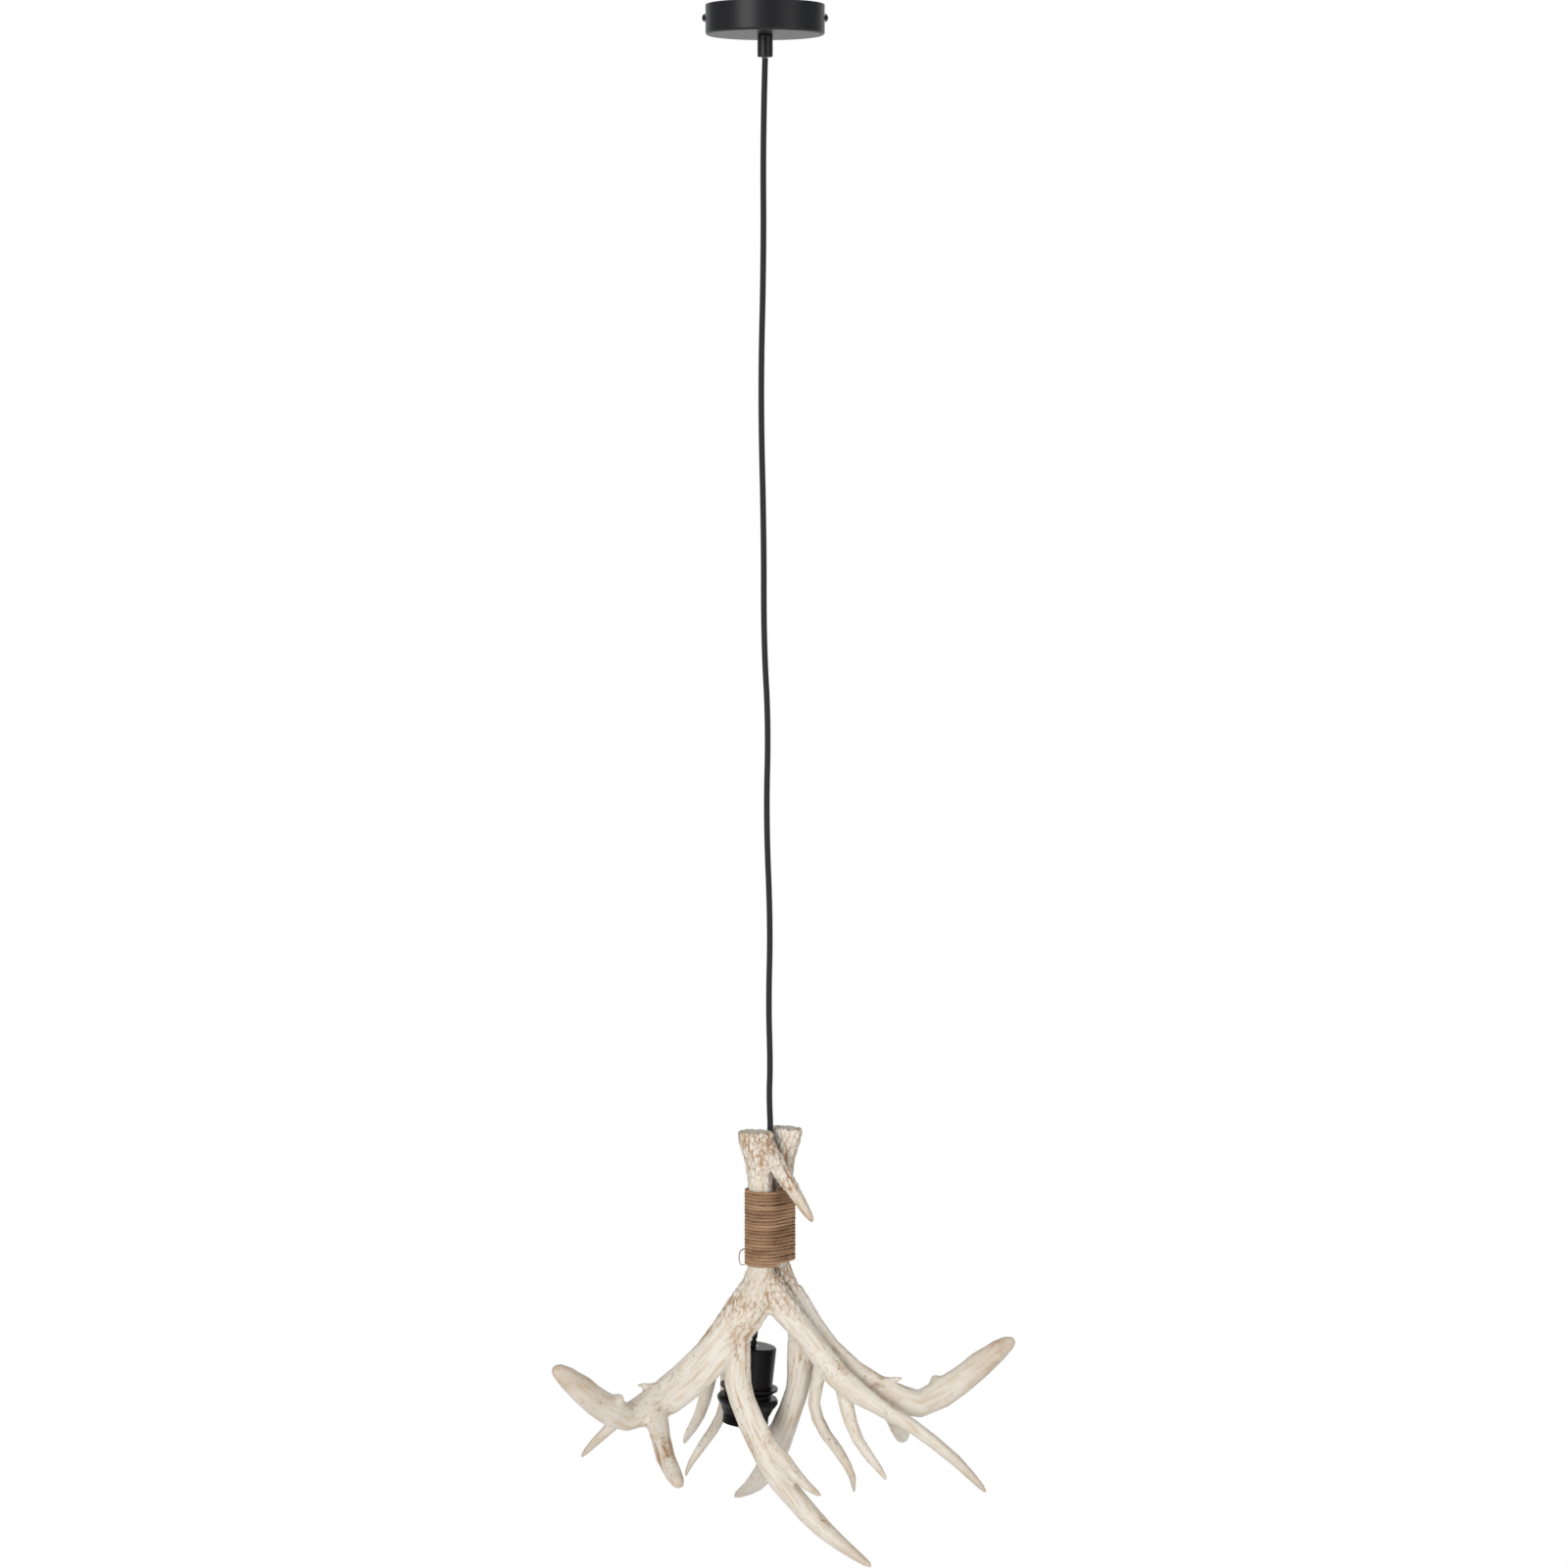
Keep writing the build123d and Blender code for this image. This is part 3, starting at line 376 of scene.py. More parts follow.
def soft_casting(node, limb_rows, knob_rows):
    """A fine mesh over one casting, with its joints and knobs rounded."""
    rough_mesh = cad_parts[node].data.copy()
    joined = bmesh.new()
    joined.from_mesh(rough_mesh)
    bmesh.ops.remove_doubles(joined, verts=joined.verts, dist=merge_distance)
    joined.to_mesh(rough_mesh)
    joined.free()
    rough_piece = bpy.data.objects.new(node + "_rough", rough_mesh)
    scene.collection.objects.link(rough_piece)
    remesh = rough_piece.modifiers.new("remesh", "REMESH")
    remesh.mode = "VOXEL"
    remesh.voxel_size = mesh_step
    graph = bpy.context.evaluated_depsgraph_get()
    mesh = bpy.data.meshes.new_from_object(rough_piece.evaluated_get(graph))
    bpy.data.objects.remove(rough_piece)
    points = vertex_values(mesh, "co")
    stands = np.stack([limb_field(points, rows)[2] for rows, _, _ in limb_rows])
    # Where two limbs are equally near, the joint is rounded most; tips least.
    joint = np.exp(-second_nearest(stands) / joint_reach)
    for knob in knob_rows:
        reach = np.linalg.norm(points - np.array(knob[:3]) / 1000.0, axis=1)
        joint = np.maximum(joint, np.exp(-((reach / knob_reach) ** 2)))
    piece = bpy.data.objects.new(node + "_surface", mesh)
    scene.collection.objects.link(piece)
    for name, values in (("joint", joint), ("whole", np.ones(len(points)))):
        group = piece.vertex_groups.new(name=name)
        for index in np.nonzero(values > 0.02)[0]:
            group.add([int(index)], float(values[index]), "REPLACE")
    for name, rounds in (("whole", whole_rounds), ("joint", joint_rounds)):
        soften = piece.modifiers.new(name, "SMOOTH")
        soften.factor = 0.5
        soften.iterations = rounds
        soften.vertex_group = name
    graph = bpy.context.evaluated_depsgraph_get()
    mesh = bpy.data.meshes.new_from_object(piece.evaluated_get(graph))
    piece.modifiers.clear()
    piece.vertex_groups.clear()
    piece.data = mesh
    return piece


def carve(mesh, limb_rows):
    """Grooves and pearls along the limbs, with stain, tip and grain attributes."""
    points = vertex_values(mesh, "co")
    normals = vertex_values(mesh, "normal")
    fields = [limb_field(points, rows) for rows, _, _ in limb_rows]
    stands = np.stack([field[2] for field in fields])
    weights = np.exp(-np.clip(stands, -0.35, 3.0) * blend_rate)
    weights /= weights.sum(axis=0)
    crotch = np.exp(-second_nearest(stands) / crotch_reach)
    patches = np.array([noise.noise(Vector(point) * 30.0) for point in points])
    pearled = np.clip((points[:, 2] - pearls_end) / pearls_fade, 0.0, 1.0)
    pearled = np.where(points[:, 2] > neck_end, neck_pearling, pearled)
    wrapped = (points[:, 2] < wrap_top) & (points[:, 2] > wrap_foot)
    lift = np.zeros(len(points))
    stain = np.zeros(len(points))
    tip = np.zeros(len(points))
    grain = np.zeros((len(points), 3))
    for seed, ((_, start_rough, end_rough), field) in enumerate(zip(limb_rows, fields)):
        along, turn, _, length = field
        share = along / length
        rough = start_rough + (end_rough - start_rough) * np.minimum(share * 1.3, 1.0)
        own = weights[seed]
        tip += own * np.clip((share - 0.8) / 0.2, 0.0, 1.0)
        grain += own[:, None] * np.column_stack([turn, along * 9.0 + seed * 3.7])
        shift = Vector((seed * 5.1, 0.0, 0.0))
        for index in np.nonzero(own > 0.04)[0]:
            across = Vector((*turn[index], 0.0))
            down = Vector((0.0, 0.0, along[index]))
            bend = 0.35 * noise.noise(across * 1.1 + down * 22.0 + shift)
            swirl = across + Vector((bend, -bend, 0.0))
            ridge = noise.noise(swirl * 2.0 + down * 15.0 + shift)
            fine = noise.noise(swirl * 4.6 + down * 26.0 + shift * 2)
            patch = patches[index]
            # A groove is where the fine noise crosses nought, and comes and goes.
            groove = max(0.0, 1.0 - abs(fine) / 0.13) * min(1.0, max(0.0, patch * 1.6 + 0.5))
            hollow = max(0.0, -ridge - 0.10) * 2.0 * max(0.0, patch + 0.3)
            rise = rough[index] * (1.15 * ridge + 0.45 * fine - 0.75 * groove)
            deep = groove * 0.8 + hollow * (1.0 - 0.8 * pearled[index])
            deep *= 0.45 + 0.75 * rough[index]
            deep += crotch[index] * max(0.0, -fine - 0.04) * 1.6
            lift[index] += own[index] * rise
            stain[index] += own[index] * deep
    # The pearls are one pattern over all the limbs, with glaze between them.
    for index in np.nonzero((pearled > 0.01) & ~wrapped)[0]:
        cell = noise.voronoi(Vector(points[index] / pearl_size))[0]
        edge = min(1.0, (cell[1] - cell[0]) / pearl_border)
        lift[index] += pearled[index] * (1.7 * edge - 1.0)
        stain[index] += pearled[index] * max(0.0, 0.62 - edge) * (0.7 + 0.8 * patches[index])
    # Under the twine nothing stands proud.
    lift = np.where(wrapped, np.minimum(lift, 0.0) * 0.4, lift)
    points += normals * (lift * relief)[:, None]
    mesh.vertices.foreach_set("co", points.reshape(-1))
    for name, values in (("stain", stain), ("tip", tip)):
        layer = mesh.attributes.new(name, "FLOAT", "POINT")
        layer.data.foreach_set("value", np.clip(values, 0.0, most_stain))
    layer = mesh.attributes.new("grain", "FLOAT_VECTOR", "POINT")
    layer.data.foreach_set("vector", grain.reshape(-1))
    mesh.polygons.foreach_set("use_smooth", [True] * len(mesh.polygons))


antler_paint = bpy.data.materials.new("antler_paint")
antler_paint.use_nodes = True
nodes = antler_paint.node_tree.nodes
links = antler_paint.node_tree.links
surface = nodes["Principled BSDF"]
surface.inputs["Specular IOR Level"].default_value = 0.4
grain_read = nodes.new("ShaderNodeAttribute")
grain_read.attribute_name = "grain"
stain_read = nodes.new("ShaderNodeAttribute")
stain_read.attribute_name = "stain"
tip_read = nodes.new("ShaderNodeAttribute")
tip_read.attribute_name = "tip"
where = nodes.new("ShaderNodeTexCoord")
# long faint streaks that follow each limb
streaks = nodes.new("ShaderNodeTexNoise")
streaks.inputs["Scale"].default_value = 3.4
streaks.inputs["Detail"].default_value = 3.0
streaks.inputs["Roughness"].default_value = 0.62
links.new(grain_read.outputs["Vector"], streaks.inputs["Vector"])
streak_level = nodes.new("ShaderNodeMapRange")
streak_level.inputs["From Min"].default_value = 0.48
streak_level.inputs["From Max"].default_value = 0.74
streak_level.inputs["To Max"].default_value = 0.75
links.new(streaks.outputs["Fac"], streak_level.inputs["Value"])
# soft warm and cool clouds in the ivory
clouds = nodes.new("ShaderNodeTexNoise")
clouds.inputs["Scale"].default_value = 26.0
clouds.inputs["Detail"].default_value = 4.0
links.new(where.outputs["Object"], clouds.inputs["Vector"])
ivory = nodes.new("ShaderNodeMix")
ivory.data_type = "RGBA"
ivory.inputs["A"].default_value = (0.76, 0.72, 0.65, 1.0)
ivory.inputs["B"].default_value = (0.64, 0.565, 0.46, 1.0)
links.new(clouds.outputs["Fac"], ivory.inputs["Factor"])
tanned = nodes.new("ShaderNodeMix")
tanned.data_type = "RGBA"
tanned.inputs["B"].default_value = (0.52, 0.37, 0.22, 1.0)
links.new(ivory.outputs["Result"], tanned.inputs["A"])
links.new(streak_level.outputs["Result"], tanned.inputs["Factor"])
# brown glaze in the grooves, broken up by a fine noise
broken = nodes.new("ShaderNodeTexNoise")
broken.inputs["Scale"].default_value = 240.0
broken.inputs["Detail"].default_value = 3.0
links.new(where.outputs["Object"], broken.inputs["Vector"])
glaze_level = nodes.new("ShaderNodeMath")
glaze_level.operation = "MULTIPLY_ADD"
glaze_level.inputs[1].default_value = 0.7
glaze_level.inputs[2].default_value = -0.35
links.new(broken.outputs["Fac"], glaze_level.inputs[0])
glaze_sum = nodes.new("ShaderNodeMath")
glaze_sum.operation = "ADD"
glaze_sum.use_clamp = True
links.new(stain_read.outputs["Fac"], glaze_sum.inputs[0])
links.new(glaze_level.outputs["Value"], glaze_sum.inputs[1])
glaze_ramp = nodes.new("ShaderNodeValToRGB")
glaze_ramp.color_ramp.elements[0].position = 0.12
glaze_ramp.color_ramp.elements[0].color = (0.0, 0.0, 0.0, 1.0)
glaze_ramp.color_ramp.elements[1].position = 0.75
glaze_ramp.color_ramp.elements[1].color = (1.0, 1.0, 1.0, 1.0)
links.new(glaze_sum.outputs["Value"], glaze_ramp.inputs["Fac"])
glazed = nodes.new("ShaderNodeMix")
glazed.data_type = "RGBA"
glazed.inputs["B"].default_value = (0.37, 0.22, 0.11, 1.0)
links.new(tanned.outputs["Result"], glazed.inputs["A"])
links.new(glaze_ramp.outputs["Color"], glazed.inputs["Factor"])
# tips rubbed to a tan
tip_level = nodes.new("ShaderNodeMath")
tip_level.operation = "MULTIPLY"
links.new(tip_read.outputs["Fac"], tip_level.inputs[0])
links.new(clouds.outputs["Fac"], tip_level.inputs[1])
tipped = nodes.new("ShaderNodeMix")
tipped.data_type = "RGBA"
tipped.inputs["B"].default_value = (0.40, 0.27, 0.16, 1.0)
links.new(glazed.outputs["Result"], tipped.inputs["A"])
links.new(tip_level.outputs["Value"], tipped.inputs["Factor"])
# scattered dark pits
pits = nodes.new("ShaderNodeTexVoronoi")
pits.inputs["Scale"].default_value = 55.0
links.new(where.outputs["Object"], pits.inputs["Vector"])
pit_level = nodes.new("ShaderNodeMapRange")
pit_level.inputs["From Min"].default_value = 0.035
pit_level.inputs["From Max"].default_value = 0.085
pit_level.inputs["To Min"].default_value = 0.75
pit_level.inputs["To Max"].default_value = 0.0
links.new(pits.outputs["Distance"], pit_level.inputs["Value"])
pitted = nodes.new("ShaderNodeMix")
pitted.data_type = "RGBA"
pitted.inputs["B"].default_value = (0.16, 0.10, 0.06, 1.0)
links.new(tipped.outputs["Result"], pitted.inputs["A"])
links.new(pit_level.outputs["Result"], pitted.inputs["Factor"])
links.new(pitted.outputs["Result"], surface.inputs["Base Color"])
# satin paint, duller in the glaze, with a fine chalky grain
dull = nodes.new("ShaderNodeMapRange")
dull.inputs["To Min"].default_value = 0.46
dull.inputs["To Max"].default_value = 0.70
links.new(glaze_ramp.outputs["Color"], dull.inputs["Value"])
links.new(dull.outputs["Result"], surface.inputs["Roughness"])
heights = nodes.new("ShaderNodeMath")
heights.operation = "MULTIPLY_ADD"
heights.inputs[1].default_value = 0.5
links.new(broken.outputs["Fac"], heights.inputs[0])
links.new(streaks.outputs["Fac"], heights.inputs[2])
chalk = nodes.new("ShaderNodeBump")
chalk.inputs["Strength"].default_value = 0.4
chalk.inputs["Distance"].default_value = 0.0004
links.new(heights.outputs["Value"], chalk.inputs["Height"])
links.new(chalk.outputs["Normal"], surface.inputs["Normal"])

front_limbs = [*limbs.values(), front_first]
rear_limbs = [(rear_rows(rows), start, end) for rows, start, end in limbs.values()]
rear_limbs.append(rear_first)
for node, limb_rows, knob_rows in (
    ("antler_front", front_limbs, knobs),
    ("antler_rear", rear_limbs, rear_rows(knobs)),
):
    casting = soft_casting(node, limb_rows, knob_rows)
    carve(casting.data, limb_rows)
    casting.data.materials.clear()
    casting.data.materials.append(antler_paint)
    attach(casting, "antlers")
    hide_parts(node)

# ---------------------------------------------------------------- twine winding
# Jute twine wound tightly round both necks: three twisted strands, 23 turns that
# wander a little. It hides the two bolts that hold the castings together.
twine_centre = Vector((0.00465, -0.00085, -1.1995))
twine_heading = math.radians(51.0)
twine_turns = 23
twine_pitch = 0.0034
twine_half_run = 0.0107
twine_end_radius = 0.0179
twine_radius = 0.00175
twine_half_round = math.pi * twine_end_radius
twine_lap = 2 * twine_half_round + 4 * twine_half_run
twine_stray = 0.0003
twine_slip = 0.3
strand_count = 3
strand_radius = 0.00100
strand_sides = 6
strand_lay = 0.0105
samples_per_turn = 130


def twine_point(turn):
    """A point of the winding's line, with the way out from the necks, at a turn."""
    reach = (turn % 1.0) * twine_lap
    stray = twine_stray * noise.noise(Vector((turn * 2.1, 0.0, 0.0)))
    ease = min(1.0, turn, twine_turns - turn)
    slip = twine_slip * ease * noise.noise(Vector((turn * 1.9, 5.0, 0.0)))
    # Straight along the front, round the right end, back, and round the left end.
    if reach < 2 * twine_half_run:
        middle = reach - twine_half_run
        angle = -math.pi / 2
    elif reach < 2 * twine_half_run + twine_half_round:
        middle = twine_half_run
        angle = (reach - 2 * twine_half_run) / twine_end_radius - math.pi / 2
    elif reach < 4 * twine_half_run + twine_half_round:
        middle = 3 * twine_half_run + twine_half_round - reach
        angle = math.pi / 2
    else:
        middle = -twine_half_run
        angle = (reach - 4 * twine_half_run - twine_half_round) / twine_end_radius + math.pi / 2
    local = Vector((middle, 0.0)) + Vector((math.cos(angle), math.sin(angle))) * (
        twine_end_radius + stray
    )
    cos_heading = math.cos(twine_heading)
    sin_heading = math.sin(twine_heading)
    place = twine_centre + Vector((
        local.x * cos_heading - local.y * sin_heading,
        local.x * sin_heading + local.y * cos_heading,
        -twine_pitch * (turn + slip),
    ))
    outward = Vector((math.cos(angle + twine_heading), math.sin(angle + twine_heading), 0.0))
    return place, outward


# Undyed jute: brown fibres, paler and darker from turn to turn.
jute = bpy.data.materials.new("jute")
jute.use_nodes = True
nodes = jute.node_tree.nodes
links = jute.node_tree.links
surface = nodes["Principled BSDF"]
surface.inputs["Roughness"].default_value = 0.82
surface.inputs["Specular IOR Level"].default_value = 0.25
where = nodes.new("ShaderNodeTexCoord")
fibres = nodes.new("ShaderNodeTexNoise")
fibres.inputs["Scale"].default_value = 520.0
fibres.inputs["Detail"].default_value = 5.0
bands = nodes.new("ShaderNodeTexNoise")
bands.inputs["Scale"].default_value = 70.0
flat = nodes.new("ShaderNodeMapping")
flat.inputs["Scale"].default_value = (0.35, 0.35, 2.6)
links.new(where.outputs["Object"], flat.inputs["Vector"])
links.new(where.outputs["Object"], fibres.inputs["Vector"])
links.new(flat.outputs["Vector"], bands.inputs["Vector"])
mixed = nodes.new("ShaderNodeMath")
mixed.operation = "MULTIPLY_ADD"
mixed.inputs[1].default_value = 0.5
links.new(fibres.outputs["Fac"], mixed.inputs[0])
links.new(bands.outputs["Fac"], mixed.inputs[2])
colours = nodes.new("ShaderNodeValToRGB")
colours.color_ramp.elements[0].position = 0.52
colours.color_ramp.elements[0].color = (0.20, 0.105, 0.05, 1.0)
colours.color_ramp.elements[1].position = 0.95
colours.color_ramp.elements[1].color = (0.47, 0.29, 0.17, 1.0)
links.new(mixed.outputs["Value"], colours.inputs["Fac"])
links.new(colours.outputs["Color"], surface.inputs["Base Color"])
hairy = nodes.new("ShaderNodeBump")
hairy.inputs["Strength"].default_value = 0.7
hairy.inputs["Distance"].default_value = 0.0004
links.new(fibres.outputs["Fac"], hairy.inputs["Height"])
links.new(hairy.outputs["Normal"], surface.inputs["Normal"])
# The tree lays the strands round the twine's own line, and thickens them.
laid_twine = bpy.data.node_groups.new("laid_twine", "GeometryNodeTree")
sockets = {}
for name, in_out, kind in (
    ("Line", "INPUT", "NodeSocketGeometry"),
    ("Lay", "INPUT", "NodeSocketFloat"),
    ("Offset", "INPUT", "NodeSocketFloat"),
    ("Strand Radius", "INPUT", "NodeSocketFloat"),
    ("Sides", "INPUT", "NodeSocketInt"),
    ("Finish", "INPUT", "NodeSocketMaterial"),
    ("Twine", "OUTPUT", "NodeSocketGeometry"),
):
    sockets[name] = laid_twine.interface.new_socket(name, in_out=in_out, socket_type=kind)
nodes = laid_twine.nodes
links = laid_twine.links
twine_in = nodes.new("NodeGroupInput")
twine_out = nodes.new("NodeGroupOutput")
to_curve = nodes.new("GeometryNodeMeshToCurve")
links.new(twine_in.outputs["Line"], to_curve.inputs["Mesh"])
outward_read = nodes.new("GeometryNodeInputNamedAttribute")
outward_read.data_type = "FLOAT_VECTOR"
outward_read.inputs["Name"].default_value = "outward"
reach_read = nodes.new("GeometryNodeInputNamedAttribute")
reach_read.inputs["Name"].default_value = "reach"
laps = nodes.new("ShaderNodeMath")
laps.operation = "DIVIDE"
links.new(reach_read.outputs["Attribute"], laps.inputs[0])
links.new(twine_in.outputs["Lay"], laps.inputs[1])
strands = nodes.new("GeometryNodeJoinGeometry")
for strand in range(strand_count):
    twist = nodes.new("ShaderNodeMath")
    twist.operation = "MULTIPLY_ADD"
    twist.inputs[1].default_value = 2 * math.pi
    twist.inputs[2].default_value = 2 * math.pi * strand / strand_count
    links.new(laps.outputs["Value"], twist.inputs[0])
    out_share = nodes.new("ShaderNodeMath")
    out_share.operation = "COSINE"
    links.new(twist.outputs["Value"], out_share.inputs[0])
    up_share = nodes.new("ShaderNodeMath")
    up_share.operation = "SINE"
    links.new(twist.outputs["Value"], up_share.inputs[0])
    out_part = nodes.new("ShaderNodeVectorMath")
    out_part.operation = "SCALE"
    links.new(outward_read.outputs["Attribute"], out_part.inputs["Vector"])
    links.new(out_share.outputs["Value"], out_part.inputs["Scale"])
    up_part = nodes.new("ShaderNodeCombineXYZ")
    links.new(up_share.outputs["Value"], up_part.inputs["Z"])
    lean = nodes.new("ShaderNodeVectorMath")
    lean.operation = "ADD"
    links.new(out_part.outputs["Vector"], lean.inputs[0])
    links.new(up_part.outputs["Vector"], lean.inputs[1])
    shift = nodes.new("ShaderNodeVectorMath")
    shift.operation = "SCALE"
    links.new(lean.outputs["Vector"], shift.inputs["Vector"])
    links.new(twine_in.outputs["Offset"], shift.inputs["Scale"])
    moved = nodes.new("GeometryNodeSetPosition")
    links.new(to_curve.outputs["Curve"], moved.inputs["Geometry"])
    links.new(shift.outputs["Vector"], moved.inputs["Offset"])
    links.new(moved.outputs["Geometry"], strands.inputs["Geometry"])
circle = nodes.new("GeometryNodeCurvePrimitiveCircle")
links.new(twine_in.outputs["Sides"], circle.inputs["Resolution"])
links.new(twine_in.outputs["Strand Radius"], circle.inputs["Radius"])
thicken = nodes.new("GeometryNodeCurveToMesh")
thicken.inputs["Fill Caps"].default_value = True
links.new(strands.outputs["Geometry"], thicken.inputs["Curve"])
links.new(circle.outputs["Curve"], thicken.inputs["Profile Curve"])
smooth = nodes.new("GeometryNodeSetShadeSmooth")
links.new(thicken.outputs["Mesh"], smooth.inputs["Geometry"])
realised = nodes.new("GeometryNodeRealizeInstances")
links.new(smooth.outputs["Geometry"], realised.inputs["Geometry"])
finished = nodes.new("GeometryNodeSetMaterial")
links.new(realised.outputs["Geometry"], finished.inputs["Geometry"])
links.new(twine_in.outputs["Finish"], finished.inputs["Material"])
links.new(finished.outputs["Geometry"], twine_out.inputs["Twine"])

steps = twine_turns * samples_per_turn
line = [twine_point(index / samples_per_turn) for index in range(steps)]
line_mesh = bpy.data.meshes.new("twine_line")
line_mesh.from_pydata(
    [place for place, _ in line], [(index, index + 1) for index in range(steps - 1)], []
)
layer = line_mesh.attributes.new("outward", "FLOAT_VECTOR", "POINT")
layer.data.foreach_set("vector", [part for _, outward in line for part in outward])
layer = line_mesh.attributes.new("reach", "FLOAT", "POINT")
layer.data.foreach_set(
    "value", [index / samples_per_turn * twine_lap for index in range(steps)]
)
twine_line = bpy.data.objects.new("twine_line", line_mesh)
scene.collection.objects.link(twine_line)
laying = twine_line.modifiers.new("laid_twine", "NODES")
laying.node_group = laid_twine
for name, value in (
    ("Lay", strand_lay),
    ("Offset", twine_radius - strand_radius),
    ("Strand Radius", strand_radius),
    ("Sides", strand_sides),
    ("Finish", jute),
):
    laying[sockets[name].identifier] = value
graph = bpy.context.evaluated_depsgraph_get()
twine_mesh = bpy.data.meshes.new_from_object(twine_line.evaluated_get(graph))
twine_line.modifiers.clear()
bpy.data.objects.remove(twine_line)
for name in ("outward", "reach"):
    twine_mesh.attributes.remove(twine_mesh.attributes[name])
twine = bpy.data.objects.new("twine", twine_mesh)
scene.collection.objects.link(twine)
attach(twine, "antlers")
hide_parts("twine_winding")

# ---------------------------------------------------------------- loose twine
# Two thin ends of the same twine, tucked under the winding's last turns: a small
# loop stands out at the lower left, and the tail hangs at the right.
loose_radius = 0.00075
loose_taper = 0.55
loose_ends = [
    [
        (-0.0190, -0.006, -1.2628), (-0.0255, -0.008, -1.2632), (-0.0275, -0.008, -1.2715),
        (-0.0262, -0.008, -1.2795), (-0.0215, -0.007, -1.2800), (-0.0180, -0.006, -1.2770),
    ],
    [
        (0.0225, -0.006, -1.2760), (0.0262, -0.010, -1.2820), (0.0288, -0.011, -1.2900),
        (0.0322, -0.011, -1.2975),
    ],
]
loose_curve = bpy.data.curves.new("loose_twine", "CURVE")
loose_curve.dimensions = "3D"
loose_curve.bevel_depth = loose_radius
loose_curve.bevel_resolution = 3
loose_curve.use_fill_caps = True
for places in loose_ends:
    strand_line = loose_curve.splines.new("NURBS")
    strand_line.points.add(len(places) - 1)
    for index, (point, place) in enumerate(zip(strand_line.points, places)):
        point.co = (*place, 1.0)
        point.radius = 1.0 - loose_taper * index / (len(places) - 1)
    strand_line.order_u = 3
    strand_line.use_endpoint_u = True
loose_shape = bpy.data.objects.new("loose_shape", loose_curve)
scene.collection.objects.link(loose_shape)
graph = bpy.context.evaluated_depsgraph_get()
loose_mesh = bpy.data.meshes.new_from_object(loose_shape.evaluated_get(graph))
bpy.data.objects.remove(loose_shape)
loose_mesh.materials.clear()
sealed = bmesh.new()
sealed.from_mesh(loose_mesh)
bmesh.ops.remove_doubles(sealed, verts=sealed.verts, dist=merge_distance)
sealed.to_mesh(loose_mesh)
sealed.free()
loose_twine = bpy.data.objects.new("loose_twine", loose_mesh)
loose_twine.data.materials.append(jute)
scene.collection.objects.link(loose_twine)
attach(loose_twine, "antlers")

# ---------------------------------------------------------------- lamp holder
# Moulded black thermoset cup, skirt and screwed ring, with a porcelain insert
# that carries the brass screw shell. It hangs from the cord between the castings.
holder_gloss = worn_material(
    "holder_gloss", (0.003, 0.003, 0.003), (0.008, 0.008, 0.009), 0.28,
    scale=260.0, depth=0.12, specular=0.09,
)
porcelain = worn_material(
    "porcelain", (0.70, 0.69, 0.66), (0.84, 0.83, 0.80), 0.22, scale=90.0, depth=0.05
)
for node in ("holder_cup", "holder_skirt", "shade_ring"):
    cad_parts[node].material_slots[0].material = holder_gloss
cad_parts["socket_insulator"].material_slots[0].material = porcelain

# ---------------------------------------------------------------- room
# A white floor and wall, which show as white whatever the light.
pale = bpy.data.materials.new("pale")
pale.use_nodes = True
nodes = pale.node_tree.nodes
links = pale.node_tree.links
nodes["Principled BSDF"].inputs["Base Color"].default_value = (0.85, 0.85, 0.85, 1.0)
nodes["Principled BSDF"].inputs["Roughness"].default_value = 0.9
rays = nodes.new("ShaderNodeLightPath")
seen = nodes.new("ShaderNodeMath")
seen.operation = "ADD"
seen.use_clamp = True
seen_through = nodes.new("ShaderNodeMath")
seen_through.operation = "ADD"
links.new(rays.outputs["Is Glossy Ray"], seen_through.inputs[0])
links.new(rays.outputs["Is Transmission Ray"], seen_through.inputs[1])
links.new(rays.outputs["Is Camera Ray"], seen.inputs[0])
links.new(seen_through.outputs["Value"], seen.inputs[1])
glow = nodes.new("ShaderNodeEmission")
either = nodes.new("ShaderNodeMixShader")
links.new(seen.outputs["Value"], either.inputs["Fac"])
links.new(nodes["Principled BSDF"].outputs["BSDF"], either.inputs[1])
links.new(glow.outputs["Emission"], either.inputs[2])
wall_only = pale.copy()
wall_only.name = "pale_wall"
links.new(either.outputs["Shader"], nodes["Material Output"].inputs["Surface"])
wall_nodes = wall_only.node_tree.nodes
wall_only.node_tree.links.new(
    wall_nodes["Mix Shader"].outputs["Shader"], wall_nodes["Material Output"].inputs["Surface"]
)
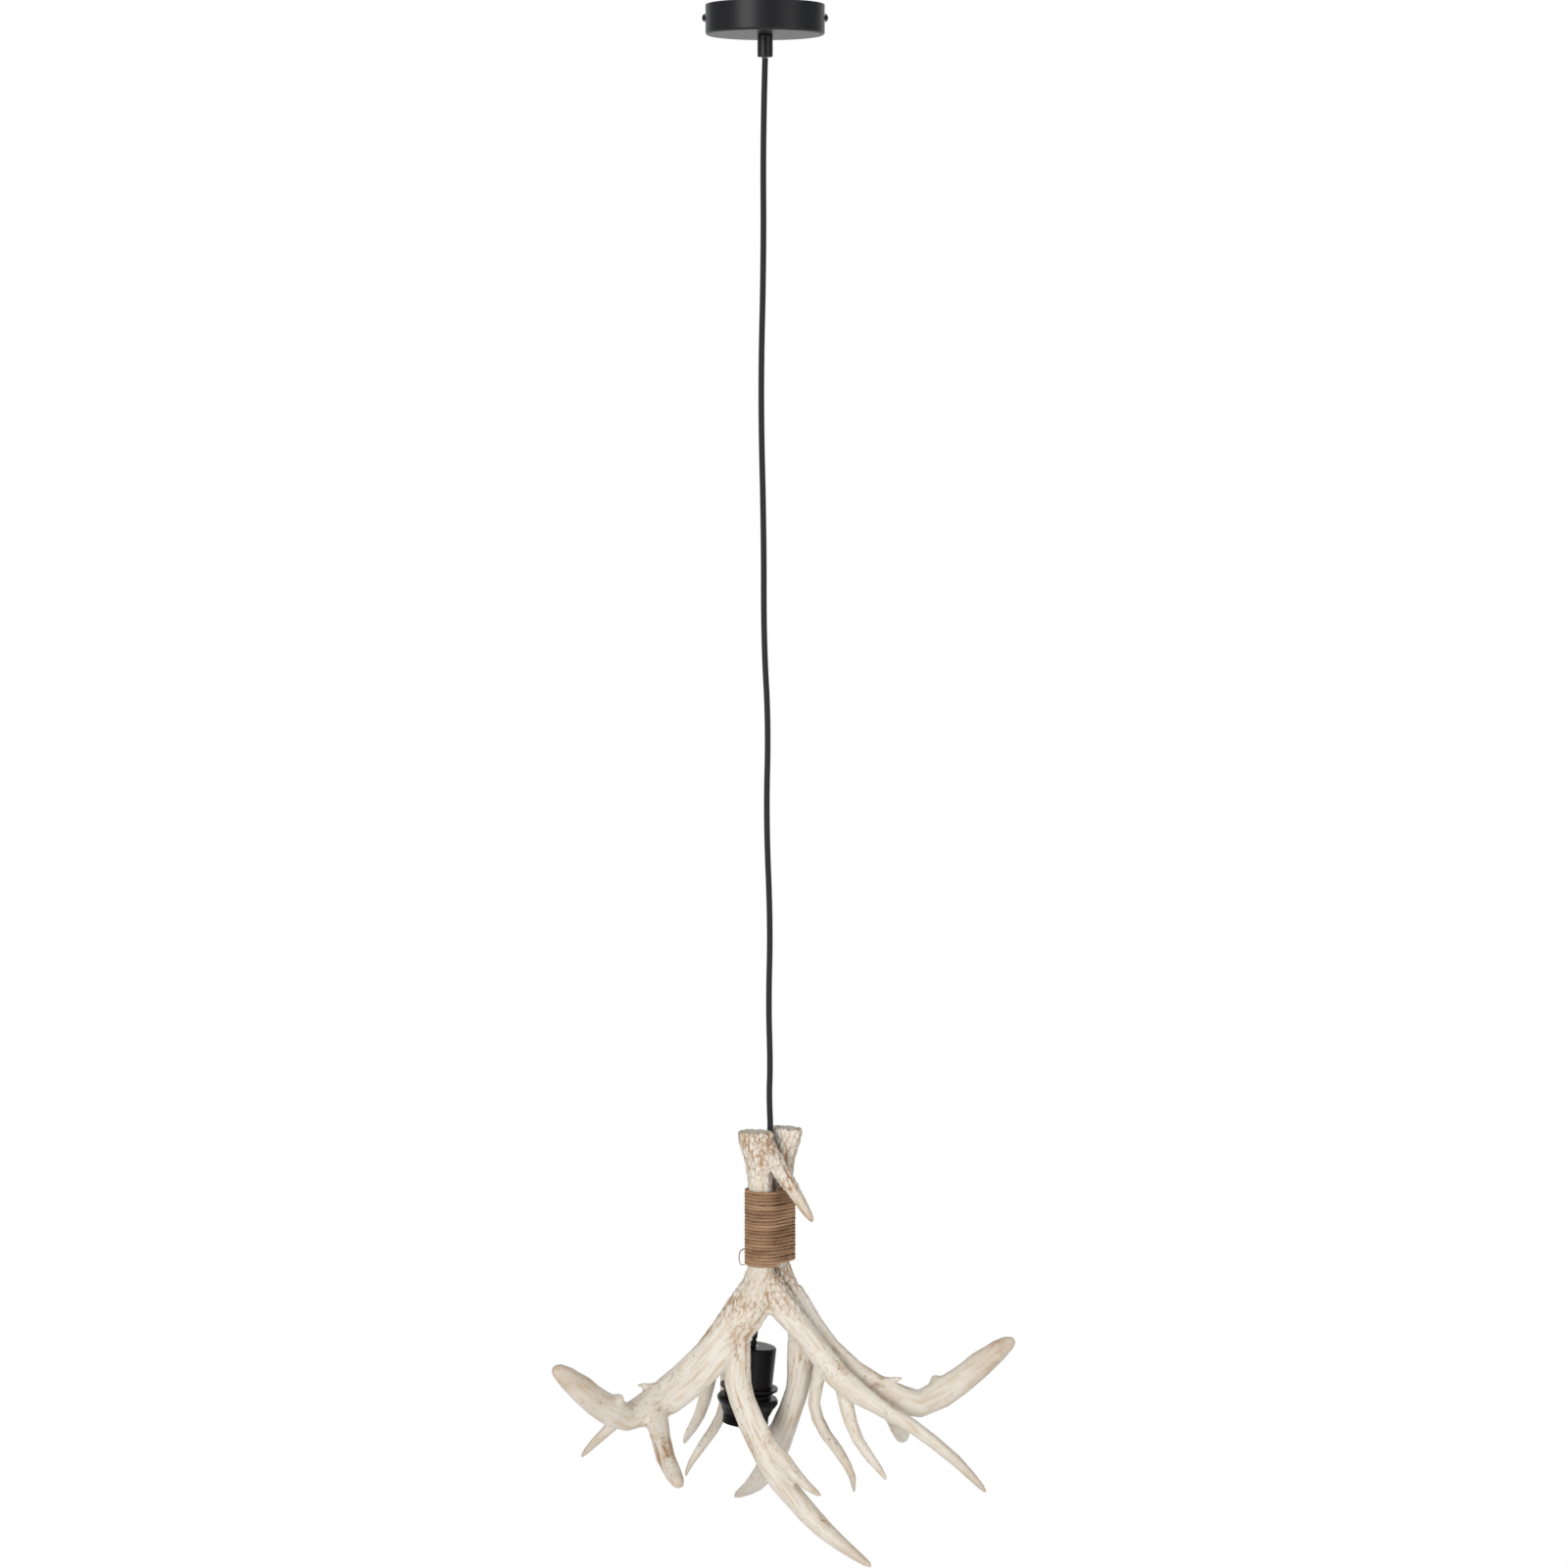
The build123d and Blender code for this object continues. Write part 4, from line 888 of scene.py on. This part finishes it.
floor_height = -2.3
wall_height = 4.0
room_reach = 9.0
for name, corners, material in (
    ("floor", [
        (-room_reach, -room_reach, floor_height), (room_reach, -room_reach, floor_height),
        (room_reach, room_reach, floor_height), (-room_reach, room_reach, floor_height),
    ], pale),
    ("backdrop", [
        (-room_reach, room_reach, floor_height), (room_reach, room_reach, floor_height),
        (room_reach, room_reach, wall_height), (-room_reach, room_reach, wall_height),
    ], wall_only),
):
    mesh = bpy.data.meshes.new(name)
    mesh.from_pydata(corners, [], [(0, 1, 2, 3)])
    plane = bpy.data.objects.new(name, mesh)
    plane.data.materials.append(material)
    scene.collection.objects.link(plane)

# ---------------------------------------------------------------- light
# A large soft key at the left, a weaker fill at the right, a faint one from
# below, and a pale room.
light_aim = Vector((0.0, 0.0, -1.1))
for name, place, size, power in (
    ("key", (-2.4, -3.4, 0.3), 2.2, 105.0),
    ("fill", (3.0, -2.6, -0.6), 2.4, 40.0),
    ("under", (0.3, -1.8, -2.2), 1.6, 14.0),
):
    lamp_data = bpy.data.lights.new(name, "AREA")
    lamp_data.size = size
    lamp_data.energy = power
    lamp = bpy.data.objects.new(name, lamp_data)
    lamp.location = place
    aim = light_aim - Vector(place)
    lamp.rotation_euler = aim.to_track_quat("-Z", "Y").to_euler()
    scene.collection.objects.link(lamp)
world = bpy.data.worlds.new("room")
scene.world = world
world.use_nodes = True
nodes = world.node_tree.nodes
links = world.node_tree.links
nodes["Background"].inputs["Color"].default_value = (0.95, 0.97, 1.0, 1.0)
nodes["Background"].inputs["Strength"].default_value = 0.42
white = nodes.new("ShaderNodeBackground")
white.inputs["Color"].default_value = (1.0, 1.0, 1.0, 1.0)
rays = nodes.new("ShaderNodeLightPath")
either = nodes.new("ShaderNodeMixShader")
links.new(rays.outputs["Is Camera Ray"], either.inputs["Fac"])
links.new(nodes["Background"].outputs["Background"], either.inputs[1])
links.new(white.outputs["Background"], either.inputs[2])
links.new(either.outputs["Shader"], nodes["World Output"].inputs["Surface"])
